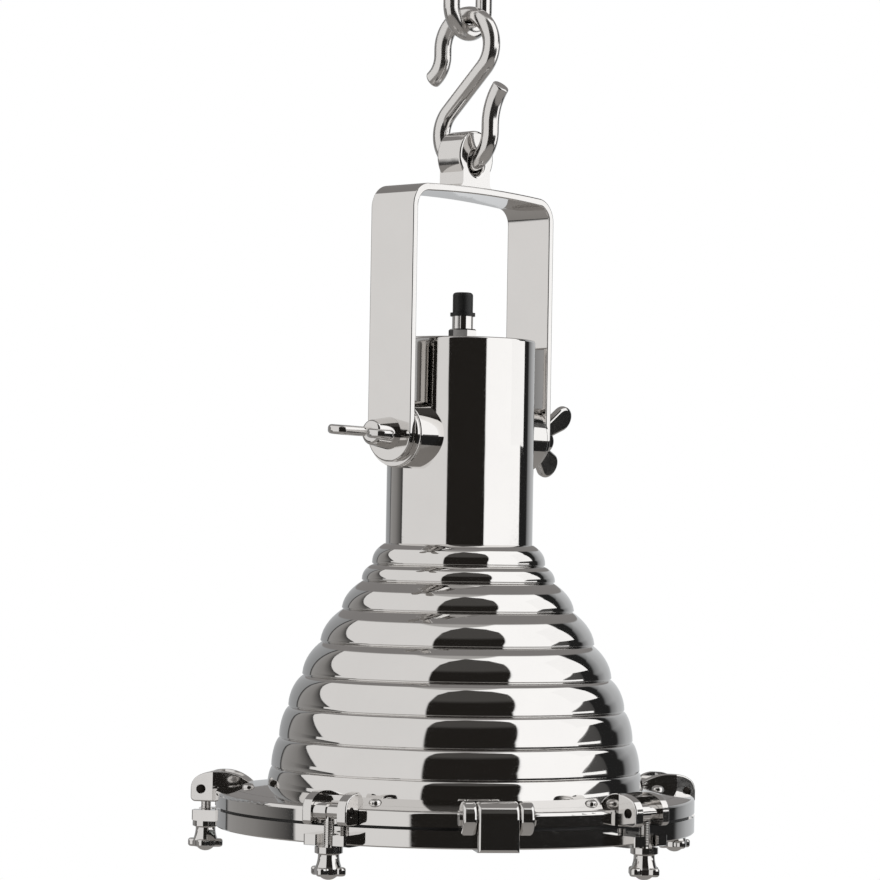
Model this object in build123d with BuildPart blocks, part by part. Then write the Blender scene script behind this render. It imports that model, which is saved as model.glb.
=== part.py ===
from build123d import *
from math import acos, atan, cos, radians, sin, sqrt, tan
import os

# Industrial pendant lamp, in millimetres, Z up.
# The origin is the crown inside the upper end of the chain link, where the lamp hangs.
# X is the tilt axis of the yoke. Azimuths are counted from -Y towards +X.

# Fits
running_clearance = 0.05
slip_clearance = 0.1
seat_gap = 0.3
overrun = 10.0

# Chain link
link_wire = 10.5
link_inner_length = 46.0
link_inner_width = 21.0

# S-hook
hook_wire = 11.0
hook_height = 95.2
hook_loop_radius = 20.0
hook_leg = 4.5
hook_tip_flare = 8.6
hook_upper_tip = 8.5
hook_lower_tip = -0.9
hook_tip_round = 1.2

# Eye on the yoke
eye_hole = 15.0
eye_hole_round = 2.5
eye_seat_gap = 2.8
eye_hole_height = 16.2
eye_radius = 16.5
eye_crown = 13.0
eye_depth = 19.4
eye_waist = 26.0
eye_base_length = 30.0
eye_flare_height = 4.5
eye_base_edge = 1.2
eye_edge_round = 1.6
eye_stud = 10.0

# Yoke bar
yoke_span = 138.0
yoke_width = 35.0
yoke_thickness = 4.5
yoke_bend = 15.0
yoke_arch = 2.5
yoke_edge_round = 1.0
pivot_drop = 156.0

# Pivots and wing screws
boss_diameter = 42.0
boss_face = 62.4
boss_edge = 1.2
pivot_screw = 10.0
pivot_thread_depth = 18.5
pivot_screw_gap = 1.0
pivot_washer_diameter = 40.0
wing_hub_diameter = 20.0
wing_hub_top_diameter = 15.0
wing_hub_height = 17.0
wing_hub_round = 2.5
wing_root_offset = 4.8
wing_root_height = 9.0
wing_root_radius = 4.8
wing_tip_offset = 15.9
wing_tip_height = 25.4
wing_tip_radius = 8.4
wing_thickness = 5.8
wing_edge_round = 2.2
left_wing_angle = 5.0
right_wing_angle = 110.0

# Neck housing
neck_diameter = 92.2
neck_height = 128.6
neck_wall = 3.2
neck_roof = 5.0
neck_edge = 1.5
pivot_below_neck_top = 61.0
spigot_shoulder = 3.6
spigot_wall = 3.2
spigot_length = 9.0

# Cable gland
gland_hex = 15.4
gland_hex_height = 7.0
gland_hex_chamfer = 0.8
gland_sleeve_diameter = 13.2
gland_sleeve_height = 8.0
gland_cap_diameter = 12.8
gland_cap_foot = 15.8
gland_cap_foot_height = 2.2
gland_cap_height = 15.0
gland_cap_round = 2.0
gland_stud = 11.0
gland_stud_end = 2.0
gland_bore = 7.0
gland_nut_hex = 17.0
gland_nut_height = 4.0

# Shade: radius and drop below the neck's top at each groove, the last one at the foot
shade_wall = 1.8
shade_grooves = (
    (47.0, 128.6),
    (54.4, 141.5),
    (60.7, 151.9),
    (72.9, 169.8),
    (86.0, 190.6),
    (97.0, 211.5),
    (105.4, 231.2),
    (110.8, 250.4),
    (115.4, 268.8),
    (117.6, 280.0),
)
rib_shoulder_share = 0.42
rib_fall_share = 0.22
rib_side_share = 0.1
rib_drop_share = 0.45
brim_width = 20.4
brim_slope = 7.5
brim_thickness = 2.0
brim_gap = 0.2
shade_screw_inset = 8.0
shade_screw_count = 6
shade_screw = 4.0
shade_screw_head = 6.6
shade_screw_head_height = 4.0
shade_screw_head_round = 2.4
shade_screw_length = 8.0
lock_ring_height = 5.0

# Upper ring
ring_rim_width = 12.0
ring_land_width = 4.6
ring_edge_round = 2.5
ring_bottom_drop = 293.2

# Ring gasket, door ring and lens
gasket_thickness = 1.8
gasket_bore_step = 8.0
gasket_inset = 3.5
door_height = 10.8
door_lip_step = 5.0
door_lip_thickness = 2.7
door_edge = 0.8
lens_seat_width = 7.5
lens_gasket_wall = 1.5
lens_gasket_lap = 5.0

# Clamps
clamp_count = 5
hinge_azimuth = -41.2
clamp_pin_out = 10.0
clamp_pin_drop = 1.5
clamp_pin = 6.0
clamp_pin_recess = 1.0
lug_nose = 6.7
lug_foot_drop = 7.9
lug_foot_round = 3.0
lug_top_rise = 9.4
lug_crown_in = 10.5
lug_crown_rise = 11.2
lug_tail_in = 29.0
lug_tail_width = 13.0
lug_tail_height = 1.2
lug_gap = 17.6
lug_ear = 5.95
lug_gap_depth = 7.5
lug_groove_depth = 2.6
lug_groove_tail = 5.0
lug_edge_round = 1.0
bolt_eye = 10.5
bolt_barrel = 8.4
bolt_eye_gap = 0.2
bolt_shaft = 6.0
fork_tip_out = 6.0
fork_slot = 11.6
fork_prong = 8.4
fork_thickness = 7.0
fork_round = 1.6

# Hand knobs
knob_seat_gap = 0.1
knob_collar_diameter = 16.6
knob_collar_height = 3.6
knob_waist_diameter = 12.5
knob_height = 19.5
knob_lobe_count = 4
knob_lobe_reach = 11.2
knob_lobe_radius = 3.4
knob_lobe_height = 5.2
knob_lobe_rise = 2.6
knob_lobe_round = 1.6
knob_scallop_round = 2.4
knob_core_diameter = 16.0
knob_hub_diameter = 11.0
knob_edge_round = 1.0
knob_thread_depth = 15.0

# Door hinge
hinge_pin_out = 10.5
hinge_pin_drop = 2.6
hinge_pin = 6.0
hinge_pin_head = 9.0
hinge_pin_head_height = 1.5
hinge_nose_radius = 10.0
hinge_knuckle_width = 24.5
hinge_ear_width = 8.4
hinge_side_gap = 0.4
hinge_edge_round = 2.0
hinge_web_inset = 0.8
hinge_web_rise = 6.5

# Lampholder and bulb
bracket_side_gap = 1.9
bracket_drop = 20.0
bracket_width = 22.0
bracket_thickness = 2.0
bracket_foot = 10.0
holder_diameter = 46.0
holder_height = 42.0
holder_floor = 12.0
shell_wall = 1.0
shell_height = 26.0
contact_diameter = 9.0
contact_height = 2.5
bulb_thread = 26.4
bulb_base_height = 25.0
bulb_tip_diameter = 9.0
bulb_tip_height = 2.0
bulb_globe_radius = 30.0
bulb_length = 108.0
bulb_wall = 1.0
bulb_side_turn = 60.0

# Heights, worked out downwards from the hanging point
hook_top_z = -link_inner_length + seat_gap + hook_wire / 2
hook_middle_z = hook_top_z - hook_height / 2
hook_bottom_z = hook_top_z - hook_height
eye_hole_z = hook_bottom_z + hook_wire / 2 + eye_seat_gap - eye_hole / 2
yoke_top_z = eye_hole_z - eye_hole_height
pivot_z = yoke_top_z - pivot_drop
neck_top_z = pivot_z + pivot_below_neck_top
neck_bottom_z = neck_top_z - neck_height
ring_bottom_z = neck_top_z - ring_bottom_drop
door_top_z = ring_bottom_z - gasket_thickness
door_bottom_z = door_top_z - door_height
door_lip_z = door_bottom_z + door_lip_thickness

# Radii, worked out outwards from the shade's foot and the neck
foot_radius, foot_drop = shade_grooves[-1]
brim_radius = foot_radius + brim_width
shade_screw_circle = brim_radius - shade_screw_inset
ring_radius = brim_radius + ring_rim_width
ring_bore = foot_radius - ring_land_width
gasket_inner = ring_bore + gasket_bore_step
gasket_outer = ring_radius - gasket_inset
door_lip_bore = ring_bore + door_lip_step
lens_radius = door_lip_bore + lens_seat_width
clamp_pin_radius = ring_radius + clamp_pin_out
hinge_pin_radius = ring_radius + hinge_pin_out
neck_radius = neck_diameter / 2
neck_cavity_radius = neck_radius - neck_wall
bracket_span = 2 * (neck_cavity_radius - bracket_foot - bracket_side_gap)

# The brim and the top of the upper ring lie on one gentle cone
slope = tan(radians(brim_slope))


def cone_z(radius):
    """Height of the brim's top surface at this radius."""
    return neck_top_z - foot_drop - (radius - foot_radius) * slope


ring_crease_radius = ring_radius - ring_edge_round
ring_crease_z = cone_z(ring_crease_radius)
ring_side_z = ring_crease_z - ring_edge_round
ring_edge_middle = (
    ring_crease_radius + ring_edge_round * sin(radians(45)),
    ring_side_z + ring_edge_round * cos(radians(45)),
)
clamp_pin_z = ring_crease_z - clamp_pin_drop
hinge_pin_z = ring_crease_z - hinge_pin_drop
fork_depth = clamp_pin_z - door_bottom_z
clamp_step = 360 / clamp_count
clamp_azimuths = [hinge_azimuth + clamp_step * (k + 1 / 2) for k in range(clamp_count)]
screw_step = 360 / shade_screw_count
screw_azimuths = [hinge_azimuth + screw_step * (k + 1 / 2) for k in range(shade_screw_count)]
lug_width = lug_gap + 2 * lug_ear


def outwards(azimuth):
    """Unit vector that points away from the lamp's axis at this azimuth."""
    return Vector(sin(radians(azimuth)), -cos(radians(azimuth)), 0)


def radial_plane(azimuth):
    """Plane through the lamp's axis: local x points outwards and local y points up."""
    x_dir = outwards(azimuth)
    return Plane(origin=(0, 0, 0), x_dir=x_dir, z_dir=x_dir.cross(Vector(0, 0, 1)))


def save(piece, name):
    """Label a finished piece and write it."""
    piece.part.label = name
    export_step(piece.part, f"parts/{name}.step")


os.makedirs("parts", exist_ok=True)

# Chain link: round wire swept along a stadium in the XZ plane
link_loop_radius = (link_inner_width + link_wire) / 2
link_high_z = -link_inner_width / 2
link_low_z = link_inner_width / 2 - link_inner_length
with BuildPart() as chain_link:
    with BuildLine(Plane.XZ) as link_path:
        Line((link_loop_radius, link_low_z), (link_loop_radius, link_high_z))
        ThreePointArc(
            (link_loop_radius, link_high_z),
            (0, link_high_z + link_loop_radius),
            (-link_loop_radius, link_high_z),
        )
        Line((-link_loop_radius, link_high_z), (-link_loop_radius, link_low_z))
        ThreePointArc(
            (-link_loop_radius, link_low_z),
            (0, link_low_z - link_loop_radius),
            (link_loop_radius, link_low_z),
        )
    with BuildSketch(Plane(origin=(link_loop_radius, 0, link_low_z), z_dir=(0, 0, 1))):
        Circle(link_wire / 2)
    sweep(path=link_path.wire())
save(chain_link, "chain_link")

# S-hook: two open loops joined by the inner tangent of their circles
# Its own plane has local x towards -Y; the loops mirror each other in a half turn, the tips don't
hook_plane = Plane(origin=(0, 0, hook_middle_z), x_dir=(0, -1, 0), z_dir=(-1, 0, 0))
loop_rise = hook_height / 2 - hook_loop_radius
cross_angle = acos(hook_loop_radius / loop_rise)
cross_x = hook_loop_radius * sin(cross_angle)
cross_z = loop_rise - hook_loop_radius * cos(cross_angle)
hook_leg_z = loop_rise - hook_leg
hook_tip_x = hook_loop_radius + hook_tip_flare


def tip_middle(level):
    """Middle of the outward bend of a tip that ends at this level."""
    turn = 2 * atan(hook_tip_flare / (hook_leg_z - level))
    bend = hook_tip_flare / (1 - cos(turn))
    return hook_loop_radius + bend * (1 - cos(turn / 2)), hook_leg_z - bend * sin(turn / 2)


upper_bend_x, upper_bend_z = tip_middle(hook_upper_tip)
lower_bend_x, lower_bend_z = tip_middle(hook_lower_tip)
with BuildPart() as s_hook:
    with BuildLine(hook_plane) as hook_path:
        ThreePointArc(
            (-hook_tip_x, hook_upper_tip),
            (-upper_bend_x, upper_bend_z),
            (-hook_loop_radius, hook_leg_z),
        )
        Line((-hook_loop_radius, hook_leg_z), (-hook_loop_radius, loop_rise))
        ThreePointArc(
            (-hook_loop_radius, loop_rise),
            (0, loop_rise + hook_loop_radius),
            (cross_x, cross_z),
        )
        Line((cross_x, cross_z), (-cross_x, -cross_z))
        ThreePointArc(
            (-cross_x, -cross_z),
            (0, -loop_rise - hook_loop_radius),
            (hook_loop_radius, -loop_rise),
        )
        Line((hook_loop_radius, -loop_rise), (hook_loop_radius, -hook_leg_z))
        ThreePointArc(
            (hook_loop_radius, -hook_leg_z),
            (lower_bend_x, -lower_bend_z),
            (hook_tip_x, -hook_lower_tip),
        )
    hook_wire_path = hook_path.wire()
    with BuildSketch(Plane(origin=hook_wire_path @ 0, z_dir=hook_wire_path % 0)):
        Circle(hook_wire / 2)
    sweep(path=hook_wire_path)
    fillet(faces().filter_by(GeomType.PLANE).edges(), radius=hook_tip_round)
save(s_hook, "s_hook")

# Eye: a thick ring on a waisted foot, with a stud through the yoke
eye_centre_z = eye_hole_z + eye_hole / 2 + eye_crown - eye_radius
with BuildPart() as yoke_eye:
    with BuildSketch(Plane.XZ):
        with BuildLine():
            for hand in (-1, 1):
                waist_point = (hand * eye_waist / 2, yoke_top_z + eye_flare_height)
                base_point = (hand * eye_base_length / 2, yoke_top_z + eye_base_edge)
                TangentArc(waist_point, base_point, tangent=(0, -1))
                Line(base_point, (hand * eye_base_length / 2, yoke_top_z))
                Line(waist_point, (hand * eye_waist / 2, eye_centre_z))
            Line((-eye_base_length / 2, yoke_top_z), (eye_base_length / 2, yoke_top_z))
            Line((-eye_waist / 2, eye_centre_z), (eye_waist / 2, eye_centre_z))
        make_face()
        with Locations((0, eye_centre_z)):
            Circle(eye_radius)
    extrude(amount=eye_depth / 2, both=True)
    ring_rims = faces().filter_by(Axis.Y).edges().filter_by(GeomType.CIRCLE)
    ring_rims = ring_rims.filter_by(lambda e: abs(e.radius - eye_radius) < running_clearance)
    fillet(ring_rims, radius=eye_edge_round)
    with BuildSketch(Plane.XZ):
        with Locations((0, eye_hole_z)):
            Circle(eye_hole / 2)
    extrude(amount=eye_depth, both=True, mode=Mode.SUBTRACT)
    hole_rims = faces().filter_by(Axis.Y).edges().filter_by(GeomType.CIRCLE)
    hole_rims = hole_rims.filter_by(lambda e: abs(e.radius - eye_hole / 2) < running_clearance)
    fillet(hole_rims, radius=eye_hole_round)
    with BuildSketch(Plane.XY.offset(yoke_top_z)):
        Circle(eye_stud / 2)
    extrude(amount=-yoke_thickness)
save(yoke_eye, "yoke_eye")

# Yoke: flat bar bent to a U with a slightly arched top and round lower ends
yoke_half = yoke_span / 2
yoke_inner_half = yoke_half - yoke_thickness
yoke_end_z = pivot_z - yoke_width / 2
yoke_corner_z = yoke_top_z - yoke_arch
yoke_inner_corner_z = yoke_corner_z - yoke_thickness
with BuildPart() as yoke_bar:
    with BuildSketch(Plane.XZ):
        with BuildLine():
            Line((-yoke_half, yoke_end_z), (-yoke_half, yoke_corner_z))
            ThreePointArc(
                (-yoke_half, yoke_corner_z), (0, yoke_top_z), (yoke_half, yoke_corner_z)
            )
            Line((yoke_half, yoke_corner_z), (yoke_half, yoke_end_z))
            Line((yoke_half, yoke_end_z), (yoke_inner_half, yoke_end_z))
            Line((yoke_inner_half, yoke_end_z), (yoke_inner_half, yoke_inner_corner_z))
            ThreePointArc(
                (yoke_inner_half, yoke_inner_corner_z),
                (0, yoke_top_z - yoke_thickness),
                (-yoke_inner_half, yoke_inner_corner_z),
            )
            Line((-yoke_inner_half, yoke_inner_corner_z), (-yoke_inner_half, yoke_end_z))
            Line((-yoke_inner_half, yoke_end_z), (-yoke_half, yoke_end_z))
        make_face()
        upper = vertices().filter_by(lambda v: v.Y > pivot_z)
        fillet(upper.filter_by(lambda v: abs(v.X) > yoke_inner_half + yoke_thickness / 2), yoke_bend)
        upper = vertices().filter_by(lambda v: v.Y > pivot_z)
        inner_corners = upper.filter_by(
            lambda v: abs(abs(v.X) - yoke_inner_half) < running_clearance
            and abs(v.Y - yoke_inner_corner_z) < running_clearance
        )
        fillet(inner_corners, yoke_bend - yoke_thickness)
    extrude(amount=yoke_width / 2, both=True)
    with BuildSketch(Plane.YZ):
        with Locations((0, pivot_z)):
            Circle(yoke_width / 2)
            Rectangle(yoke_width, pivot_drop + overrun, align=(Align.CENTER, Align.MIN))
    extrude(amount=yoke_span, both=True, mode=Mode.INTERSECT)
    with BuildSketch(Plane.YZ):
        with Locations((0, pivot_z)):
            Circle(pivot_screw / 2 + slip_clearance)
    extrude(amount=yoke_span, both=True, mode=Mode.SUBTRACT)
    with BuildSketch(Plane.XY.offset(yoke_top_z + overrun)):
        Circle(eye_stud / 2 + running_clearance)
    extrude(amount=-pivot_drop / 2, mode=Mode.SUBTRACT)
    bar_edges = edges().filter_by(
        lambda e: abs(abs(e.center().Y) - yoke_width / 2) < running_clearance
        or (e.center().Z < pivot_z and abs(e.center().Y) > pivot_screw)
    )
    fillet(bar_edges, radius=yoke_edge_round)
save(yoke_bar, "yoke_bar")

# Neck housing: an upturned cup with a spigot for the shade and two pivot bosses
spigot_radius = neck_radius - spigot_shoulder
spigot_bore_radius = spigot_radius - spigot_wall
with BuildPart() as neck_housing:
    with BuildSketch(Plane.XY.offset(neck_bottom_z)):
        Circle(neck_radius)
    extrude(amount=neck_height)
    fillet(edges().group_by(Axis.Z)[-1], radius=neck_edge)
    for side in (-1, 1):
        with BuildSketch(Plane.YZ):
            with Locations((0, pivot_z)):
                Circle(boss_diameter / 2)
        extrude(amount=side * boss_face)
    fillet(
        edges().filter_by(GeomType.CIRCLE).filter_by(
            lambda e: abs(abs(e.arc_center.X) - boss_face) < running_clearance
        ),
        radius=boss_edge,
    )
    with BuildSketch(Plane.XY.offset(neck_bottom_z)):
        Circle(spigot_radius)
    extrude(amount=-spigot_length)
    with BuildSketch(Plane.XY.offset(neck_bottom_z + neck_wall)):
        Circle(neck_cavity_radius)
    extrude(amount=neck_height - neck_wall - neck_roof, mode=Mode.SUBTRACT)
    with BuildSketch(Plane.XY.offset(neck_bottom_z - spigot_length)):
        Circle(spigot_bore_radius)
    extrude(amount=spigot_length + 2 * neck_wall, mode=Mode.SUBTRACT)
    with BuildSketch(Plane.XY.offset(neck_top_z)):
        Circle(gland_stud / 2 + running_clearance)
    extrude(amount=-2 * neck_roof, mode=Mode.SUBTRACT)
    for side in (-1, 1):
        with BuildSketch(Plane.YZ.offset(side * boss_face)):
            with Locations((0, pivot_z)):
                Circle(pivot_screw / 2 + running_clearance)
        extrude(amount=-side * pivot_thread_depth, mode=Mode.SUBTRACT)
save(neck_housing, "neck_housing")

# Pivot washers and wing screws, one of each on each side
washer_thickness = yoke_inner_half - boss_face - running_clearance
pivot_screw_length = yoke_half - boss_face + pivot_thread_depth - pivot_screw_gap


def wing(wing_plane, hand):
    """One flared wing with rounded edges, to this side of the hub."""
    with BuildPart() as blade:
        with BuildSketch(wing_plane):
            with Locations((hand * wing_root_offset, wing_root_height)):
                Circle(wing_root_radius)
            with Locations((hand * wing_tip_offset, wing_tip_height)):
                Circle(wing_tip_radius)
            make_hull()
        extrude(amount=wing_thickness / 2, both=True)
        rims = edges().filter_by(
            lambda e: abs(abs(wing_plane.to_local_coords(e.center()).Z) - wing_thickness / 2)
            < running_clearance
        )
        fillet(rims, radius=wing_edge_round)
    return blade.part


def wing_screw(side, angle):
    """Thumb screw with two flared wings: its shank goes through the yoke into the boss."""
    seat = Vector(side * (yoke_half + running_clearance), 0, pivot_z)
    axis = Vector(side, 0, 0)
    across = Vector(0, cos(radians(angle)), sin(radians(angle)))
    hub_plane = Plane(origin=seat, x_dir=across, z_dir=axis)
    wing_plane = Plane(origin=seat, x_dir=across, z_dir=across.cross(axis))
    blades = [wing(wing_plane, hand) for hand in (-1, 1)]
    with BuildPart() as screw:
        add(blades)
        with BuildSketch(hub_plane):
            Circle(wing_hub_diameter / 2)
        with BuildSketch(hub_plane.offset(wing_hub_height)) as hub_top:
            Circle(wing_hub_top_diameter / 2)
        loft()
        hub_rim = edges().filter_by(GeomType.CIRCLE).filter_by(
            lambda e: abs(e.radius - wing_hub_top_diameter / 2) < running_clearance
        )
        fillet(hub_rim, radius=wing_hub_round)
        with BuildSketch(hub_plane):
            Circle(pivot_screw / 2)
        extrude(amount=-pivot_screw_length)
    return screw


for side_name, side, wing_angle in (
    ("left", -1, left_wing_angle),
    ("right", 1, right_wing_angle),
):
    with BuildPart() as pivot_washer:
        with BuildSketch(Plane.YZ.offset(side * boss_face)):
            with Locations((0, pivot_z)):
                Circle(pivot_washer_diameter / 2)
                Circle(pivot_screw / 2 + slip_clearance, mode=Mode.SUBTRACT)
        extrude(amount=side * washer_thickness)
    save(pivot_washer, f"{side_name}_pivot_washer")
    save(wing_screw(side, wing_angle), f"{side_name}_wing_screw")

# Cable gland: hex body, sleeve, cap and the nut inside the neck
gland_sleeve_z = neck_top_z + gland_hex_height
gland_cap_z = gland_sleeve_z + gland_sleeve_height
with BuildPart() as gland_body:
    with BuildSketch(Plane.XY.offset(neck_top_z)):
        RegularPolygon(gland_hex / 2, side_count=6, major_radius=False)
    extrude(amount=gland_hex_height)
    chamfer(edges().group_by(Axis.Z)[-1], length=gland_hex_chamfer)
    with BuildSketch(Plane.XY.offset(neck_top_z)):
        Circle(gland_stud / 2)
    extrude(amount=-neck_roof - gland_nut_height - gland_stud_end)
    with BuildSketch(Plane.XY.offset(gland_sleeve_z)):
        Circle(gland_bore / 2)
    extrude(amount=-neck_height / 2, mode=Mode.SUBTRACT)
save(gland_body, "gland_body")

with BuildPart() as gland_sleeve:
    with BuildSketch(Plane.XY.offset(gland_sleeve_z)):
        Circle(gland_sleeve_diameter / 2)
        Circle(gland_bore / 2, mode=Mode.SUBTRACT)
    extrude(amount=gland_sleeve_height)
save(gland_sleeve, "gland_sleeve")

with BuildPart() as gland_cap:
    with BuildSketch(Plane.XY.offset(gland_cap_z)):
        Circle(gland_cap_foot / 2)
    extrude(amount=gland_cap_foot_height)
    with BuildSketch(Plane.XY.offset(gland_cap_z)):
        Circle(gland_cap_diameter / 2)
    extrude(amount=gland_cap_height)
    fillet(edges().group_by(Axis.Z)[-1], radius=gland_cap_round)
    with BuildSketch(Plane.XY.offset(gland_cap_z)):
        Circle(gland_bore / 2)
    extrude(amount=gland_cap_height + overrun, mode=Mode.SUBTRACT)
save(gland_cap, "gland_cap")

with BuildPart() as gland_nut:
    with BuildSketch(Plane.XY.offset(neck_top_z - neck_roof)):
        RegularPolygon(gland_nut_hex / 2, side_count=6, major_radius=False)
        Circle(gland_stud / 2 + running_clearance, mode=Mode.SUBTRACT)
    extrude(amount=-gland_nut_height)
save(gland_nut, "gland_nut")

# Shade: spun shell with nine ribs and a brim
collar_bore_radius = spigot_radius + slip_clearance
grooves = [(radius, neck_top_z - drop) for radius, drop in shade_grooves]


def rib_curves(shift):
    """Ribs from the collar to the foot, moved in and down by this much."""
    for (r0, z0), (r1, z1) in zip(grooves, grooves[1:]):
        wide = r1 - r0
        deep = z0 - z1
        Bezier(
            (r0 - shift, z0 - shift),
            (r0 - shift + wide * rib_shoulder_share, z0 - shift - deep * rib_fall_share),
            (r1 - shift - wide * rib_side_share, z1 - shift + deep * rib_drop_share),
            (r1 - shift, z1 - shift),
        )


brim_end_z = cone_z(brim_radius)
foot_inner_radius = foot_radius - shade_wall
foot_inner_z = cone_z(foot_radius) - shade_wall
with BuildPart() as shade:
    with BuildSketch(Plane.XZ):
        with BuildLine():
            rib_curves(0)
            rib_curves(shade_wall)
            Line(grooves[0], (collar_bore_radius, neck_bottom_z))
            Line((collar_bore_radius, neck_bottom_z), (collar_bore_radius, neck_bottom_z - shade_wall))
            Line(
                (collar_bore_radius, neck_bottom_z - shade_wall),
                (grooves[0][0] - shade_wall, neck_bottom_z - shade_wall),
            )
            Polyline(
                grooves[-1],
                (brim_radius, brim_end_z),
                (brim_radius, brim_end_z - brim_thickness),
                (foot_inner_radius, cone_z(foot_inner_radius) - brim_thickness),
                (foot_inner_radius, foot_inner_z),
            )
        make_face()
    revolve(axis=Axis.Z)
    for azimuth in screw_azimuths:
        place = outwards(azimuth) * shade_screw_circle + Vector(0, 0, cone_z(shade_screw_circle))
        normal = outwards(azimuth) * sin(radians(brim_slope)) + Vector(0, 0, cos(radians(brim_slope)))
        with BuildSketch(Plane(origin=place, z_dir=normal)):
            Circle(shade_screw / 2 + slip_clearance)
        extrude(amount=shade_screw_length, both=True, mode=Mode.SUBTRACT)
save(shade, "shade")

with BuildPart() as shade_lock_ring:
    with BuildSketch(Plane.XY.offset(neck_bottom_z - shade_wall)):
        Circle(grooves[0][0] - shade_wall - slip_clearance)
        Circle(spigot_radius + running_clearance, mode=Mode.SUBTRACT)
    extrude(amount=-lock_ring_height)
save(shade_lock_ring, "shade_lock_ring")

# Small screws that hold the brim to the upper ring
with BuildPart() as shade_screws:
    for azimuth in screw_azimuths:
        place = outwards(azimuth) * shade_screw_circle + Vector(0, 0, cone_z(shade_screw_circle))
        normal = outwards(azimuth) * sin(radians(brim_slope)) + Vector(0, 0, cos(radians(brim_slope)))
        seat_plane = Plane(origin=place, z_dir=normal)
        with BuildSketch(seat_plane):
            Circle(shade_screw_head / 2)
        extrude(amount=shade_screw_head_height)
        head_rim = edges().filter_by(
            lambda e: abs(seat_plane.to_local_coords(e.center()).Z - shade_screw_head_height)
            < running_clearance
        )
        fillet(head_rim, radius=shade_screw_head_round)
        with BuildSketch(seat_plane):
            Circle(shade_screw / 2)
        extrude(amount=-shade_screw_length)
save(shade_screws, "shade_screws")

# Upper ring: carries the shade on a recessed land, with two hinge ears
brim_recess_radius = brim_radius + brim_gap
hinge_plane = radial_plane(hinge_azimuth)
hinge_ear_offset = hinge_knuckle_width / 2 + hinge_side_gap
hinge_ears = []
for hand in (-1, 1):
    with BuildPart() as hinge_ear:
        with BuildSketch(hinge_plane.offset(hand * hinge_ear_offset)):
            with Locations((hinge_pin_radius, hinge_pin_z)):
                Circle(hinge_nose_radius)
        extrude(amount=hand * hinge_ear_width)
        fillet(edges().filter_by(GeomType.CIRCLE), radius=hinge_edge_round)
        with BuildSketch(hinge_plane.offset(hand * (hinge_ear_offset + hinge_web_inset))):
            Polygon(
                (ring_crease_radius, ring_bottom_z),
                (hinge_pin_radius, ring_bottom_z),
                (hinge_pin_radius, hinge_pin_z + hinge_web_rise),
                (ring_crease_radius, ring_crease_z),
                align=None,
            )
        extrude(amount=hand * (hinge_ear_width - 2 * hinge_web_inset))
    hinge_ears.append(hinge_ear.part)
with BuildPart() as upper_ring:
    with BuildSketch(Plane.XZ):
        with BuildLine():
            ThreePointArc(
                (ring_crease_radius, ring_crease_z), ring_edge_middle, (ring_radius, ring_side_z)
            )
            Polyline(
                (ring_radius, ring_side_z),
                (ring_radius, ring_bottom_z),
                (ring_bore, ring_bottom_z),
                (ring_bore, cone_z(ring_bore) - brim_thickness),
                (brim_recess_radius, cone_z(brim_recess_radius) - brim_thickness),
                (brim_recess_radius, cone_z(brim_recess_radius)),
                (ring_crease_radius, ring_crease_z),
            )
        make_face()
    revolve(axis=Axis.Z)
    add(hinge_ears)
    with BuildSketch(hinge_plane):
        with Locations((hinge_pin_radius, hinge_pin_z)):
            Circle(hinge_pin / 2 + running_clearance)
    extrude(amount=hinge_ear_offset + 2 * hinge_ear_width, both=True, mode=Mode.SUBTRACT)
    for azimuth in screw_azimuths:
        place = outwards(azimuth) * shade_screw_circle + Vector(0, 0, cone_z(shade_screw_circle))
        normal = outwards(azimuth) * sin(radians(brim_slope)) + Vector(0, 0, cos(radians(brim_slope)))
        with BuildSketch(Plane(origin=place, z_dir=normal)):
            Circle(shade_screw / 2 + running_clearance)
        extrude(amount=-shade_screw_length - ring_edge_round, mode=Mode.SUBTRACT)
save(upper_ring, "upper_ring")

# Ring gasket between the two rings
with BuildPart() as ring_gasket:
    with BuildSketch(Plane.XY.offset(door_top_z)):
        Circle(gasket_outer)
        Circle(gasket_inner, mode=Mode.SUBTRACT)
    extrude(amount=gasket_thickness)
save(ring_gasket, "ring_gasket")

# Door ring: a rebate for the lens, five slotted forks and the hinge knuckle
lens_rebate_radius = lens_radius + lens_gasket_wall
fork_tip_radius = clamp_pin_radius + fork_tip_out
fork_bottom_z = door_bottom_z
fork_tip_z = clamp_pin_z - sqrt(fork_depth**2 - fork_tip_out**2)
fork_half_out = fork_tip_out / 2
fork_half_z = clamp_pin_z - sqrt(fork_depth**2 - fork_half_out**2)
with BuildPart() as hinge_knuckle:
    with BuildSketch(hinge_plane):
        Polygon(
            (hinge_pin_radius - hinge_nose_radius, hinge_pin_z),
            (hinge_pin_radius + hinge_nose_radius, hinge_pin_z),
            (hinge_pin_radius + hinge_nose_radius, door_bottom_z),
            (ring_radius - door_edge, door_bottom_z),
            (ring_radius - door_edge, door_top_z),
            (hinge_pin_radius - hinge_nose_radius, door_top_z),
            align=None,
        )
    extrude(amount=hinge_knuckle_width / 2, both=True)
    outer_edges = edges().filter_by(
        lambda e: hinge_plane.to_local_coords(e.center()).X
        > hinge_pin_radius + hinge_nose_radius - running_clearance
        and e.center().Z < hinge_pin_z - running_clearance
    )
    fillet(outer_edges, radius=hinge_edge_round)
with BuildPart() as hinge_barrel:
    with BuildSketch(hinge_plane):
        with Locations((hinge_pin_radius, hinge_pin_z)):
            Circle(hinge_nose_radius)
    extrude(amount=hinge_knuckle_width / 2, both=True)
    fillet(edges().filter_by(GeomType.CIRCLE), radius=hinge_edge_round)
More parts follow.
